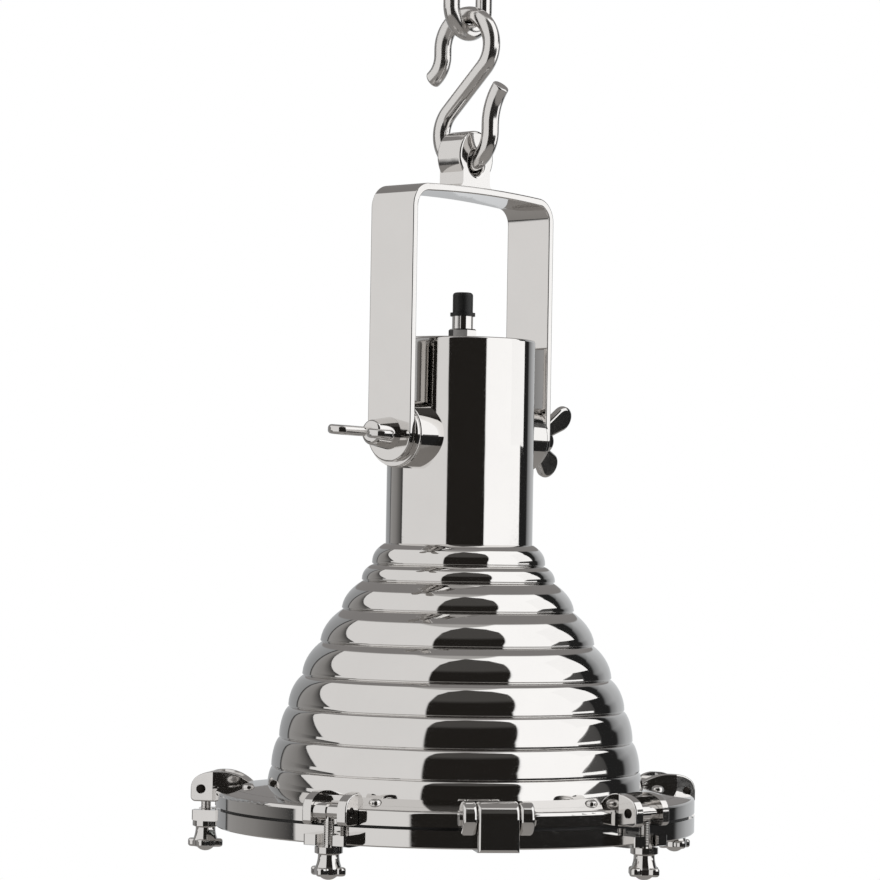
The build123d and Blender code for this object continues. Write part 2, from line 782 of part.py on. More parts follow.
with BuildPart() as door_ring:
    with BuildSketch(Plane.XZ):
        Polygon(
            (lens_rebate_radius, door_top_z),
            (ring_radius, door_top_z),
            (ring_radius, door_bottom_z + door_edge),
            (ring_radius - door_edge, door_bottom_z),
            (door_lip_bore, door_bottom_z),
            (door_lip_bore, door_lip_z),
            (lens_rebate_radius, door_lip_z),
            align=None,
        )
    revolve(axis=Axis.Z)
    for azimuth in clamp_azimuths:
        with BuildSketch(radial_plane(azimuth)):
            with BuildLine():
                Polyline(
                    (clamp_pin_radius, fork_bottom_z),
                    (ring_radius - door_height / 2, fork_bottom_z),
                    (ring_radius - door_height / 2, fork_bottom_z + fork_thickness),
                    (fork_tip_radius, fork_bottom_z + fork_thickness),
                    (fork_tip_radius, fork_tip_z),
                )
                ThreePointArc(
                    (fork_tip_radius, fork_tip_z),
                    (clamp_pin_radius + fork_half_out, fork_half_z),
                    (clamp_pin_radius, fork_bottom_z),
                )
            make_face()
        extrude(amount=fork_slot / 2 + fork_prong, both=True)
        fork_corners = edges().filter_by(Axis.Z).filter_by(
            lambda e: abs(radial_plane(azimuth).to_local_coords(e.center()).X - fork_tip_radius)
            < running_clearance
        )
        fillet(fork_corners, radius=fork_round)
        slot_plane = Plane(origin=outwards(azimuth) * clamp_pin_radius, x_dir=outwards(azimuth))
        with BuildSketch(slot_plane.offset(door_bottom_z)):
            Circle(fork_slot / 2)
            Rectangle(fork_tip_out + overrun, fork_slot, align=(Align.MIN, Align.CENTER))
        extrude(amount=door_height, mode=Mode.SUBTRACT)
    add(hinge_knuckle.part)
    add(hinge_barrel.part)
    with BuildSketch(hinge_plane):
        with Locations((hinge_pin_radius, hinge_pin_z)):
            Circle(hinge_pin / 2 + running_clearance)
    extrude(amount=hinge_knuckle_width, both=True, mode=Mode.SUBTRACT)
save(door_ring, "door_ring")

# Hinge pin with a low head at each end
with BuildPart() as hinge_pin_piece:
    with BuildSketch(hinge_plane):
        with Locations((hinge_pin_radius, hinge_pin_z)):
            Circle(hinge_pin / 2)
    extrude(amount=hinge_ear_offset + hinge_ear_width, both=True)
    for hand in (-1, 1):
        with BuildSketch(hinge_plane.offset(hand * (hinge_ear_offset + hinge_ear_width))):
            with Locations((hinge_pin_radius, hinge_pin_z)):
                Circle(hinge_pin_head / 2)
        extrude(amount=hand * hinge_pin_head_height)
save(hinge_pin_piece, "hinge_pin")

# Lens glass in a channel gasket
lens_bottom_z = door_lip_z + lens_gasket_wall
lens_top_z = door_top_z - lens_gasket_wall
with BuildPart() as lens_gasket:
    with BuildSketch(Plane.XZ):
        Polygon(
            (lens_rebate_radius - lens_gasket_wall - lens_gasket_lap, door_lip_z),
            (lens_rebate_radius, door_lip_z),
            (lens_rebate_radius, door_top_z),
            (lens_rebate_radius - lens_gasket_wall - lens_gasket_lap, door_top_z),
            (lens_rebate_radius - lens_gasket_wall - lens_gasket_lap, lens_top_z),
            (lens_radius, lens_top_z),
            (lens_radius, lens_bottom_z),
            (lens_rebate_radius - lens_gasket_wall - lens_gasket_lap, lens_bottom_z),
            align=None,
        )
    revolve(axis=Axis.Z)
save(lens_gasket, "lens_gasket")

with BuildPart() as lens_glass:
    with BuildSketch(Plane.XY.offset(lens_bottom_z)):
        Circle(lens_radius)
    extrude(amount=lens_top_z - lens_bottom_z)
save(lens_glass, "lens_glass")

# Clamp lugs: two ears that run back as ribs to a narrow tail, with a sunk web between them
crown = (clamp_pin_radius - lug_crown_in, clamp_pin_z + lug_crown_rise)
nose = (clamp_pin_radius + lug_nose, clamp_pin_z)
nose_foot = (clamp_pin_radius + lug_nose, clamp_pin_z - lug_foot_drop + lug_foot_round)
foot_point = (clamp_pin_radius + lug_nose - lug_foot_round, clamp_pin_z - lug_foot_drop)
lug_tail_radius = clamp_pin_radius - lug_tail_in
lug_gap_radius = clamp_pin_radius - lug_gap_depth
tail_top = (lug_tail_radius, cone_z(lug_tail_radius) + lug_tail_height)
web_crown = (crown[0], crown[1] - lug_groove_depth)
web_tail_radius = lug_tail_radius + lug_groove_tail
web_tail = (web_tail_radius, cone_z(web_tail_radius) + lug_tail_height)
for number, azimuth in enumerate(clamp_azimuths, start=1):
    lug_plane = radial_plane(azimuth)
    plan_plane = Plane(origin=(0, 0, clamp_pin_z), x_dir=outwards(azimuth))
    with BuildPart() as lug_groove:
        with BuildSketch(lug_plane):
            with BuildLine():
                TangentArc(web_crown, web_tail, tangent=(-1, 0))
                Polyline(
                    web_tail,
                    (web_tail_radius, web_crown[1] + overrun),
                    (lug_gap_radius, web_crown[1] + overrun),
                    (lug_gap_radius, web_crown[1]),
                    web_crown,
                )
            make_face()
        extrude(amount=lug_gap / 2, both=True)
        with BuildSketch(plan_plane):
            Polygon(
                (web_tail_radius, -lug_tail_width / 2 + lug_groove_depth),
                (lug_gap_radius - lug_groove_depth, -lug_gap / 2),
                (lug_gap_radius, -lug_gap / 2),
                (lug_gap_radius, lug_gap / 2),
                (lug_gap_radius - lug_groove_depth, lug_gap / 2),
                (web_tail_radius, lug_tail_width / 2 - lug_groove_depth),
                align=None,
            )
        extrude(amount=lug_width, both=True, mode=Mode.INTERSECT)
    with BuildPart() as clamp_lug:
        with BuildSketch(lug_plane):
            with BuildLine():
                TangentArc(crown, tail_top, tangent=(-1, 0))
                Spline(
                    crown,
                    (clamp_pin_radius, clamp_pin_z + lug_top_rise),
                    nose,
                    tangents=((1, 0), (0, -1)),
                )
                Line(nose, nose_foot)
                TangentArc(nose_foot, foot_point, tangent=(0, -1))
                Polyline(
                    foot_point,
                    (ring_radius, clamp_pin_z - lug_foot_drop),
                    (ring_radius, ring_side_z),
                )
                ThreePointArc(
                    (ring_radius, ring_side_z), ring_edge_middle, (ring_crease_radius, ring_crease_z)
                )
                Polyline(
                    (ring_crease_radius, ring_crease_z),
                    (lug_tail_radius, cone_z(lug_tail_radius)),
                    tail_top,
                )
            make_face()
        extrude(amount=lug_width / 2, both=True)
        with BuildSketch(plan_plane):
            Polygon(
                (lug_tail_radius, -lug_tail_width / 2),
                (lug_gap_radius, -lug_width / 2),
                (clamp_pin_radius + overrun, -lug_width / 2),
                (clamp_pin_radius + overrun, lug_width / 2),
                (lug_gap_radius, lug_width / 2),
                (lug_tail_radius, lug_tail_width / 2),
                align=None,
            )
        extrude(amount=lug_width, both=True, mode=Mode.INTERSECT)
        rims = edges().filter_by(
            lambda e: abs(lug_plane.to_local_coords(e.center()).Z) > lug_tail_width / 2
            and lug_plane.to_local_coords(e.center()).Y
            > cone_z(lug_plane.to_local_coords(e.center()).X) + lug_tail_height
            and e.length > lug_ear
        )
        fillet(rims, radius=lug_edge_round)
        add(lug_groove.part, mode=Mode.SUBTRACT)
        with BuildSketch(lug_plane):
            with Locations((lug_gap_radius, clamp_pin_z)):
                Rectangle(lug_width, 2 * lug_width, align=(Align.MIN, Align.CENTER))
        extrude(amount=lug_gap / 2, both=True, mode=Mode.SUBTRACT)
        with BuildSketch(lug_plane):
            with Locations((clamp_pin_radius, clamp_pin_z)):
                Circle(clamp_pin / 2 + running_clearance)
        extrude(amount=lug_width, both=True, mode=Mode.SUBTRACT)
    save(clamp_lug, f"clamp_lug_{number}")

# Pins through the ears
with BuildPart() as clamp_pins:
    for azimuth in clamp_azimuths:
        with BuildSketch(radial_plane(azimuth)):
            with Locations((clamp_pin_radius, clamp_pin_z)):
                Circle(clamp_pin / 2)
        extrude(amount=lug_width / 2 - clamp_pin_recess, both=True)
save(clamp_pins, "clamp_pins")

# Swing bolts and hand knobs, one of each at every clamp, with lobes shaped once for all
knob_top_z = door_bottom_z - knob_seat_gap
knob_bottom_z = knob_top_z - knob_height
bolt_end_z = knob_top_z - knob_thread_depth
lobe_z = knob_bottom_z + knob_lobe_rise
lobe_top_z = lobe_z + knob_lobe_height
knob_collar_z = knob_top_z - knob_collar_height
with BuildPart() as knob_lobes:
    with BuildSketch():
        Circle(knob_core_diameter / 2)
        with PolarLocations(knob_lobe_reach - knob_lobe_radius, knob_lobe_count):
            Circle(knob_lobe_radius)
        fillet(vertices(), radius=knob_scallop_round)
    extrude(amount=knob_lobe_height)
    fillet(faces().filter_by(Axis.Z).edges(), radius=knob_lobe_round)

for number, azimuth in enumerate(clamp_azimuths, start=1):
    bolt_plane = radial_plane(azimuth)
    stand_plane = Plane(origin=outwards(azimuth) * clamp_pin_radius, x_dir=outwards(azimuth))
    with BuildPart() as swing_bolt:
        with BuildSketch(bolt_plane):
            with Locations((clamp_pin_radius, clamp_pin_z)):
                Circle(bolt_barrel / 2)
        extrude(amount=lug_gap / 2 - bolt_eye_gap, both=True)
        with BuildSketch(bolt_plane):
            with Locations((clamp_pin_radius, clamp_pin_z)):
                Circle(bolt_eye / 2)
        extrude(amount=lug_gap / 2 - bolt_eye_gap)
        with BuildSketch(stand_plane.offset(clamp_pin_z)):
            Circle(bolt_shaft / 2)
        extrude(amount=bolt_end_z - clamp_pin_z)
        with BuildSketch(bolt_plane):
            with Locations((clamp_pin_radius, clamp_pin_z)):
                Circle(clamp_pin / 2 + running_clearance)
        extrude(amount=lug_gap, both=True, mode=Mode.SUBTRACT)
    save(swing_bolt, f"swing_bolt_{number}")

    with BuildPart() as hand_knob:
        with BuildSketch(bolt_plane):
            with BuildLine():
                Polyline(
                    (clamp_pin_radius, knob_bottom_z),
                    (clamp_pin_radius, knob_top_z),
                    (clamp_pin_radius + knob_collar_diameter / 2, knob_top_z),
                    (clamp_pin_radius + knob_collar_diameter / 2, knob_collar_z),
                    (clamp_pin_radius + knob_waist_diameter / 2, knob_collar_z - knob_edge_round),
                )
                TangentArc(
                    (clamp_pin_radius + knob_waist_diameter / 2, knob_collar_z - knob_edge_round),
                    (clamp_pin_radius + knob_core_diameter / 2, lobe_top_z - knob_edge_round),
                    tangent=(0, -1),
                )
                Polyline(
                    (clamp_pin_radius + knob_core_diameter / 2, lobe_top_z - knob_edge_round),
                    (clamp_pin_radius + knob_core_diameter / 2, lobe_z + knob_edge_round),
                    (clamp_pin_radius + knob_hub_diameter / 2, lobe_z),
                )
                TangentArc(
                    (clamp_pin_radius, knob_bottom_z),
                    (clamp_pin_radius + knob_hub_diameter / 2, lobe_z),
                    tangent=(1, 0),
                )
            make_face()
        revolve(axis=Axis(outwards(azimuth) * clamp_pin_radius, (0, 0, 1)))
        add(knob_lobes.part.moved(Location(stand_plane.offset(lobe_z))))
        with BuildSketch(stand_plane.offset(knob_top_z)):
            Circle(bolt_shaft / 2 + running_clearance)
        extrude(amount=-knob_thread_depth - running_clearance, mode=Mode.SUBTRACT)
    save(hand_knob, f"hand_knob_{number}")

# Lampholder: a strap bracket, a ceramic cup, its screw shell and centre contact
roof_z = neck_top_z - neck_roof
strap_z = roof_z - bracket_drop
with BuildPart() as holder_bracket:
    with BuildSketch(Plane.XZ):
        with BuildLine() as strap_line:
            Polyline(
                (-bracket_span / 2 - bracket_foot, roof_z - bracket_thickness),
                (-bracket_span / 2, roof_z - bracket_thickness),
                (-bracket_span / 2, strap_z),
                (bracket_span / 2, strap_z),
                (bracket_span / 2, roof_z - bracket_thickness),
                (bracket_span / 2 + bracket_foot, roof_z - bracket_thickness),
            )
            offset(amount=bracket_thickness, side=Side.LEFT)
        make_face()
    extrude(amount=bracket_width / 2, both=True)
    with BuildSketch(Plane.XY.offset(strap_z)):
        Circle(gland_stud / 2)
    extrude(amount=bracket_drop, both=True, mode=Mode.SUBTRACT)
save(holder_bracket, "holder_bracket")

holder_bottom_z = strap_z - holder_height
shell_top_z = strap_z - holder_floor
shell_radius = bulb_thread / 2 + slip_clearance + shell_wall
with BuildPart() as holder_body:
    with BuildSketch(Plane.XY.offset(holder_bottom_z)):
        Circle(holder_diameter / 2)
    extrude(amount=holder_height)
    chamfer(edges().group_by(Axis.Z)[-1], length=neck_edge)
    with BuildSketch(Plane.XY.offset(holder_bottom_z)):
        Circle(shell_radius + running_clearance)
    extrude(amount=holder_height - holder_floor, mode=Mode.SUBTRACT)
save(holder_body, "holder_body")

with BuildPart() as holder_shell:
    with BuildSketch(Plane.XY.offset(shell_top_z)):
        Circle(shell_radius)
        Circle(shell_radius - shell_wall, mode=Mode.SUBTRACT)
    extrude(amount=-shell_height)
save(holder_shell, "holder_shell")

with BuildPart() as holder_contact:
    with BuildSketch(Plane.XY.offset(shell_top_z)):
        Circle(contact_diameter / 2)
    extrude(amount=-contact_height)
save(holder_contact, "holder_contact")

# Bulb: screw base with its tip, and a hollow glass bulb
bulb_top_z = shell_top_z - contact_height
bulb_shoulder_z = bulb_top_z - bulb_tip_height
bulb_neck_z = bulb_shoulder_z - bulb_base_height
bulb_low_z = bulb_top_z - bulb_length
globe_z = bulb_low_z + bulb_globe_radius
with BuildPart() as bulb_base:
    with BuildSketch(Plane.XY.offset(bulb_shoulder_z)):
        Circle(bulb_thread / 2)
    extrude(amount=-bulb_base_height)
    chamfer(edges().group_by(Axis.Z)[-1], length=bulb_tip_height)
    with BuildSketch(Plane.XY.offset(bulb_shoulder_z)):
        Circle(bulb_tip_diameter / 2)
    extrude(amount=bulb_tip_height)
save(bulb_base, "bulb_base")

with BuildPart() as bulb_glass:
    for inset, mode in ((0, Mode.ADD), (bulb_wall, Mode.SUBTRACT)):
        globe_radius = bulb_globe_radius - inset
        neck_half = bulb_thread / 2 - inset
        neck_z = bulb_neck_z - inset
        side_x = globe_radius * sin(radians(bulb_side_turn))
        side_z = globe_z + globe_radius * cos(radians(bulb_side_turn))
        with BuildSketch(Plane.XZ):
            with BuildLine():
                Line((0, neck_z), (neck_half, neck_z))
                Bezier(
                    (neck_half, neck_z),
                    (neck_half, (neck_z + side_z) / 2),
                    ((side_x + neck_half) / 2, side_z + neck_half / 2),
                    (side_x, side_z),
                )
                ThreePointArc((side_x, side_z), (globe_radius, globe_z), (0, globe_z - globe_radius))
                Line((0, globe_z - globe_radius), (0, neck_z))
            make_face()
        revolve(axis=Axis.Z, mode=mode)
save(bulb_glass, "bulb_glass")
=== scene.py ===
import math

import bpy
from bpy.props import FloatProperty, FloatVectorProperty, IntProperty
from mathutils import Matrix, Vector


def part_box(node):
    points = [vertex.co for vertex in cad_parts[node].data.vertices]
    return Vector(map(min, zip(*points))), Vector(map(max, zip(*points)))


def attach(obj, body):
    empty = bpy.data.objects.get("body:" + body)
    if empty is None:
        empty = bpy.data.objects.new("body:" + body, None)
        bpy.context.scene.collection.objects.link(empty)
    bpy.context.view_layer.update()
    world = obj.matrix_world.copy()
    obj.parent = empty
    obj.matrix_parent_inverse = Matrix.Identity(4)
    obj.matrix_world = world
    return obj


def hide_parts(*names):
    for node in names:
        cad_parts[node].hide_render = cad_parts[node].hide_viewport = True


bl_info = {
    "name": "Industrial Pendant Lamp",
    "version": (1, 0, 0),
    "blender": (4, 5, 0),
    "location": "3D View > Sidebar > Pendant Lamp",
    "description": "Dresses the packed model of a hanging industrial lamp and sets its studio",
    "category": "Add Mesh",
}

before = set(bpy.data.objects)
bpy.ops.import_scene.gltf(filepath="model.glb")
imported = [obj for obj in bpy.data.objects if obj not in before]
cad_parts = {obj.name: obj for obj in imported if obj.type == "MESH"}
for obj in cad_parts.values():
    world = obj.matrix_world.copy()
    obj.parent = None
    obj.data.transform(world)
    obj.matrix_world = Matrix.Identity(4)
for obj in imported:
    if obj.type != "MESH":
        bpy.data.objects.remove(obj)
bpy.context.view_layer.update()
MM = 0.001

# Where each node's finish comes from: the node, then the material's name
FINISHES = {
    "chain_link": "drawn_steel_wire_nickel_plated",
    "s_hook": "drawn_steel_wire_nickel_plated",
    "yoke_eye": "cast_brass_nickel_plated",
    "yoke_bar": "rolled_flat_bar_nickel_plated",
    "left_pivot_washer": "turned_steel_nickel_plated",
    "right_pivot_washer": "turned_steel_nickel_plated",
    "left_wing_screw": "cast_brass_nickel_plated",
    "right_wing_screw": "cast_brass_nickel_plated",
    "neck_housing": "cast_aluminium_hand_polished",
    "gland_body": "turned_steel_nickel_plated",
    "gland_sleeve": "turned_steel_nickel_plated",
    "gland_nut": "turned_steel_nickel_plated",
    "gland_cap": "moulded_neoprene",
    "shade": "spun_aluminium_polished",
    "shade_lock_ring": "turned_steel_nickel_plated",
    "shade_screws": "turned_steel_nickel_plated",
    "upper_ring": "cast_aluminium_hand_polished",
    "door_ring": "cast_aluminium_hand_polished",
    "ring_gasket": "moulded_neoprene",
    "lens_gasket": "moulded_neoprene",
    "hinge_pin": "turned_steel_nickel_plated",
    "clamp_pins": "turned_steel_nickel_plated",
    "lens_glass": "float_glass_clear",
    "holder_bracket": "turned_steel_nickel_plated",
    "holder_body": "glazed_porcelain",
    "holder_shell": "pressed_brass",
    "holder_contact": "pressed_brass",
    "bulb_base": "pressed_brass",
    "bulb_glass": "blown_glass_clear",
}
CLAMPS = range(1, 6)
for clamp in CLAMPS:
    FINISHES[f"clamp_lug_{clamp}"] = "cast_brass_nickel_plated"
    FINISHES[f"swing_bolt_{clamp}"] = "turned_steel_nickel_plated"
    FINISHES[f"hand_knob_{clamp}"] = "cast_brass_nickel_plated"

# The shade's ribs in millimetres: radius and height of each groove, from the neck to the foot
RIB_GROOVES = (
    (47.0, -374.4), (54.4, -387.3), (60.7, -397.7), (72.9, -415.6), (86.0, -436.4), (97.0, -457.3),
    (105.4, -477.0), (110.8, -496.2), (115.4, -514.6), (117.6, -525.8),
)
# How each rib leaves its upper groove, as shares of its width and height
RIB_SHOULDERS = (
    (0.75, 0.30), (0.5, 0.12), (0.42, 0.2), (0.42, 0.2), (0.42, 0.18), (0.45, 0.12), (0.5, 0.04),
    (0.5, 0.02), (0.5, 0.02),
)
# How each rib comes down to its side, as shares of its width and height
RIB_SIDES = (
    (1.0, 0.60), (1.0, 0.5), (0.92, 0.54), (0.92, 0.54), (0.94, 0.54), (0.98, 0.56), (1.0, 0.6),
    (1.0, 0.6), (1.0, 0.6),
)
# Length of a Bezier handle that rounds a corner to about a quarter circle, as a share of its radius
ROUND_CORNER = 0.55
# Steps along each stretch of the ribs' curve, and steps of the spin round the lamp
PROFILE_STEPS = 8
SPIN_STEPS = 180
# Radius of the hole that the neck passes, and radius and height of the brim's outer edge, in millimetres
COLLAR_BORE = 40.5
BRIM_EDGE = (138.0, -528.49)
# The brim's screws: how many, the radius and height of their circle in millimetres, and the brim's slope
BRIM_SCREWS = 6
BRIM_CIRCLE = (130.0, -527.4)
BRIM_SLOPE = math.radians(7.5)
# The clamp pins in millimetres: radius of their circle, how far the discs of painted shade in a pin's
# recessed ends stand from its middle, and a disc's thickness and worn edge
PIN_CIRCLE = 160.0
PIN_END = 14.0
PIN_FACE_DEPTH = 0.5
PIN_FACE_EDGE = 0.18
# From the top of a swing bolt's eye down to the end of its thread, in millimetres
BOLT_EYE = 10.5
# Half the foot of a thread's tooth, as a share of the pitch, which leaves a narrow root between two turns
TOOTH_FOOT = 0.42

# The bulb's glass stem, in millimetres: how far its top is below the bulb's, radius at each end, and length
STEM_DROP = 1.5
STEM_ENDS = (2.6, 8.5)
STEM_LENGTH = 24.0
# Shares of its width that the stem keeps at its foot and across the pinch there, and how soon it flares out
STEM_WAIST = 0.62
STEM_PINCH = 0.45
STEM_FLARE = 2.2
# The lead wires, in millimetres: radius, then distance from the axis at the top and at the stem's foot
LEAD_WIRE = 0.45
LEAD_SPREAD = (4.0, 3.2)
LEAD_BEND = 18.0
# Top of the filament's cage below the stem's top in millimetres, and how narrow the cage is there
CAGE_DROP = 22.0
CAGE_NECK = 0.45

# Edges of the studio's panels, each as pairs of how high up it is in degrees and where it then stands, in
# degrees from the camera: the left wall's, both of the dark flag's, the softbox's and the dark gap's far one
LEFT_EDGE = (
    (-4, -80), (-0.6, -96), (-0.2, -101.5), (3.4, -101.5), (3.8, -95), (8, -99), (30, -127), (40, -137),
)
FLAG_LEFT = ((32, -20), (54, -17), (64, -9), (71.5, 12))
FLAG_RIGHT = ((8, 38), (54, 49), (64, 41), (71.5, 15))
BOX_EDGE = ((-0.6, 86), (-0.2, 108), (3.4, 108), (3.8, 85), (8, 88), (37, 122), (60, 135))
DARK_END = ((6, 130), (10, 125), (40, 141))
# Grey rear wall, its dark corner and the lit wall on the left: angle from the camera, brightness, warmth
LEFT_WALLS = (
    (-180, 0.52, -0.02), (-160, 0.38, -0.02), (-142, 0.31, -0.02), (-141, 0.012, 0), (-139.5, 0.012, 0),
    (-138.8, 0.34, 0.02), (-120, 0.25, 0.03), (-106, 0.09, 0.03), (-102.3, 0.035, 0), (-101.5, 0.83, 0.01),
    (-21, 0.83, 0.01),
)
# The dark flag beside the camera, near the horizon and further up
FLAG_LOW = (-20, 0.015, 0.12)
FLAG_MIDDLE = (FLAG_LOW, (38, 0.015, 0.12))
FLAG_HIGH = ((-20, 0.07, 0.05), (38, 0.07, 0.05))
# The softbox on the right, the dark gap past it and the rear wall again
SOFTBOX = ((39.5, 1.25, 0), (107.7, 1.25, 0), (108.2, 0.09, 0.02), (109.6, 0.09, 0.02))
RIGHT_WALLS = ((110, 0.018, 0), (129, 0.018, 0), (133, 0.22, -0.02), (146, 0.46, -0.02), (180, 0.7, -0.02))
# Heights in degrees between which the walls near the floor, in the middle and high up take over
MIDDLE_RISE = (-3.4, -2.8)
HIGH_RISE = (31.0, 41.0)
# The tent's pale roof, which shows over the top edge of the dark flag
ROOF_RISE = (69.5, 72.5)
ROOF_COLOUR = (0.46, 0.45, 0.44, 1.0)
# The dim ceiling behind the lamp: how steeply a direction has to climb, and the least height it has
CEILING_RISE = (0.80, 0.86)
CEILING_LEAST = 0.1
CEILING_COLOUR = (0.25, 0.24, 0.235, 1.0)
# Light on matt surfaces, and the white that the camera and the glass see
SOFT_LIGHT = ((0.95, 0.95, 0.95, 1.0), 0.85)
WHITE = (1.0, 1.0, 1.0, 1.0)
# The area lamps: name, place, size in metres and power in watts, and the point that they face
AREA_LAMPS = (
    ("key_softbox", (-0.4, -2.2, 0.8), 1.2, 16.0),
    ("fill_softbox", (1.9, 1.5, 0.6), 1.4, 10.0),
)
LAMP_MIDDLE = (0, 0, -0.3)


def linear(hex_colour, alpha=1.0):
    """Turn an sRGB hex colour into the linear values that Blender's sockets take."""
    channels = [int(hex_colour[i : i + 2], 16) / 255 for i in (1, 3, 5)]
    return (*[c / 12.92 if c <= 0.04045 else ((c + 0.055) / 1.055) ** 2.4 for c in channels], alpha)


def add_node(tree, kind, sockets=None, **settings):
    """Add a node with its settings, and give its sockets links or values."""
    node = tree.nodes.new(kind)
    for name, value in settings.items():
        setattr(node, name, value)
    for socket, value in (sockets or {}).items():
        if isinstance(value, bpy.types.NodeSocket):
            tree.links.new(value, node.inputs[socket])
        else:
            node.inputs[socket].default_value = value
    return node


def empty_material(name):
    """Make a node material without nodes."""
    material = bpy.data.materials.new(name)
    material.use_nodes = True
    material.node_tree.nodes.clear()
    return material


def new_material(name):
    """Make a material with a Principled shader, and give its tree, the shader and the place on the piece."""
    tree = empty_material(name).node_tree
    shader = add_node(tree, "ShaderNodeBsdfPrincipled")
    add_node(tree, "ShaderNodeOutputMaterial", {"Surface": shader.outputs["BSDF"]})
    return tree, shader, add_node(tree, "ShaderNodeTexCoord").outputs["Object"]


def bend_normal(tree, shader, height, depth_mm):
    """Let a pattern's height, of so many millimetres, bend the reflections."""
    bump = add_node(tree, "ShaderNodeBump", {"Height": height, "Strength": 1.0, "Distance": depth_mm * MM})
    tree.links.new(bump.outputs[0], shader.inputs["Normal"])


def vary_colour(tree, shader, share, colour, deepest):
    """Let a pattern darken the colour, down to so large a share of it."""
    darker = (*(channel * deepest for channel in colour[:3]), 1.0)
    tint = add_node(tree, "ShaderNodeMix", {0: share, 6: colour, 7: darker}, data_type="RGBA")
    tree.links.new(tint.outputs[2], shader.inputs["Base Color"])


def outwards(azimuth):
    """Level direction out from the lamp's axis, at an angle from the front."""
    return Vector((math.sin(azimuth), -math.cos(azimuth), 0))


def sideways(azimuth):
    """Level direction along the rim, at an angle from the front."""
    return Vector((math.cos(azimuth), math.sin(azimuth), 0))


class LampStudio(bpy.types.PropertyGroup):
    """Camera, card and floor of the studio."""

    camera_azimuth: FloatProperty(
        name="Camera azimuth", description="Angle of the camera round the lamp, from the front",
        default=math.radians(-50.0), subtype="ANGLE", unit="ROTATION")
    camera_distance: FloatProperty(
        name="Camera distance", description="From the lamp's axis to the camera", default=2.076,
        unit="LENGTH")
    camera_height: FloatProperty(
        name="Camera height", description="Height of the camera in the lamp's frame", default=-0.3707,
        unit="LENGTH")
    camera_lens: FloatProperty(
        name="Focal length", description="Focal length on a 36 mm sensor", default=135.0, unit="CAMERA")
    camera_roll: FloatProperty(
        name="Camera roll", description="Lean of the picture", default=math.radians(0.95), subtype="ANGLE",
        unit="ROTATION")
    camera_aim: FloatProperty(
        name="Aim beside the axis", description="How far left of the axis the camera points", default=0.0130,
        unit="LENGTH")
    camera_rise: FloatProperty(
        name="Aim above the camera", description="How much higher than itself the camera points, at the axis",
        default=0.0618, unit="LENGTH")
    card_angle: FloatProperty(
        name="White card", description="Angle of the white card from the camera", default=math.radians(97.0),
        subtype="ANGLE", unit="ROTATION")
    card_distance: FloatProperty(
        name="Card distance", description="From the lamp's axis to the card", default=0.5, unit="LENGTH")
    card_height: FloatProperty(
        name="Card height", description="Height of the card's middle", default=-0.14, unit="LENGTH")
    card_size: FloatVectorProperty(
        name="Card size", description="Width and height of the card", default=(0.27, 0.32), size=2,
        unit="LENGTH")
    card_level: FloatProperty(
        name="Card brightness", description="How bright the metal mirrors the card", default=1.2, min=0.0)
    floor_depth: FloatProperty(
        name="Floor depth", description="Distance of the floor below the hanging point", default=2.2,
        unit="LENGTH")
    floor_radius: FloatProperty(
        name="Floor radius", description="Radius of the round studio floor", default=4.5, unit="LENGTH")
    floor_colour: FloatVectorProperty(
        name="Floor colour", description="Colour of the paper floor", default=linear("#F4F3F1"), size=4,
        subtype="COLOR")
    floor_reflected: FloatVectorProperty(
        name="Floor in the metal", description="Colour of the floor as the polished metal mirrors it",
        default=linear("#9A9794"), size=4, subtype="COLOR")


class LampMetal(bpy.types.PropertyGroup):
    """Finish of the polished metals."""

    nickel_colour: FloatVectorProperty(
        name="Nickel colour", description="Colour of the polished plating", default=linear("#E4E2E0"),
        size=4, subtype="COLOR")
    polish_roughness: FloatProperty(
        name="Polish roughness", description="Roughness of the mirror polish", default=0.025, min=0.0,
        max=1.0)


def maths(tree, operation, *values):
    """Add a Math node for one operation, and give its result."""
    return add_node(tree, "ShaderNodeMath", dict(enumerate(values)), operation=operation).outputs[0]


def follow(tree, value, stops):
    """Bent line through the stops: each is a value, which may be a socket, and what the line gives there."""
    total = stops[0][1]
    for (low, low_level), (high, high_level) in zip(stops, stops[1:]):
        run = add_node(
            tree, "ShaderNodeMapRange",
            {"Value": value, "From Min": low, "From Max": high, "To Min": 0.0,
             "To Max": high_level - low_level})
        total = maths(tree, "ADD", total, run.outputs[0])
    return total


def rise(tree, value, limits):
    """Smooth step from 0 to 1 between the two limits."""
    return add_node(
        tree, "ShaderNodeMapRange", {"Value": value, "From Min": limits[0], "From Max": limits[1]},
        interpolation_type="SMOOTHSTEP").outputs[0]


def blend(tree, share, first, second):
    """Mix two colours by a share."""
    return add_node(tree, "ShaderNodeMix", {0: share, 6: first, 7: second}, data_type="RGBA").outputs[2]


def wall_ramp(tree, share, stops):
    """Walls all round the studio: each stop is an angle from the camera, a brightness and a warmth."""
    walls = add_node(tree, "ShaderNodeValToRGB", {"Fac": share})
    ramp = walls.color_ramp
    while len(ramp.elements) < len(stops):
        ramp.elements.new(1.0)
    for element, (angle, level, warmth) in zip(ramp.elements, stops):
        element.position = angle / 360 + 0.5
        element.color = (level * (1 + warmth), level, level * (1 - warmth), 1.0)
    return walls.outputs[0]


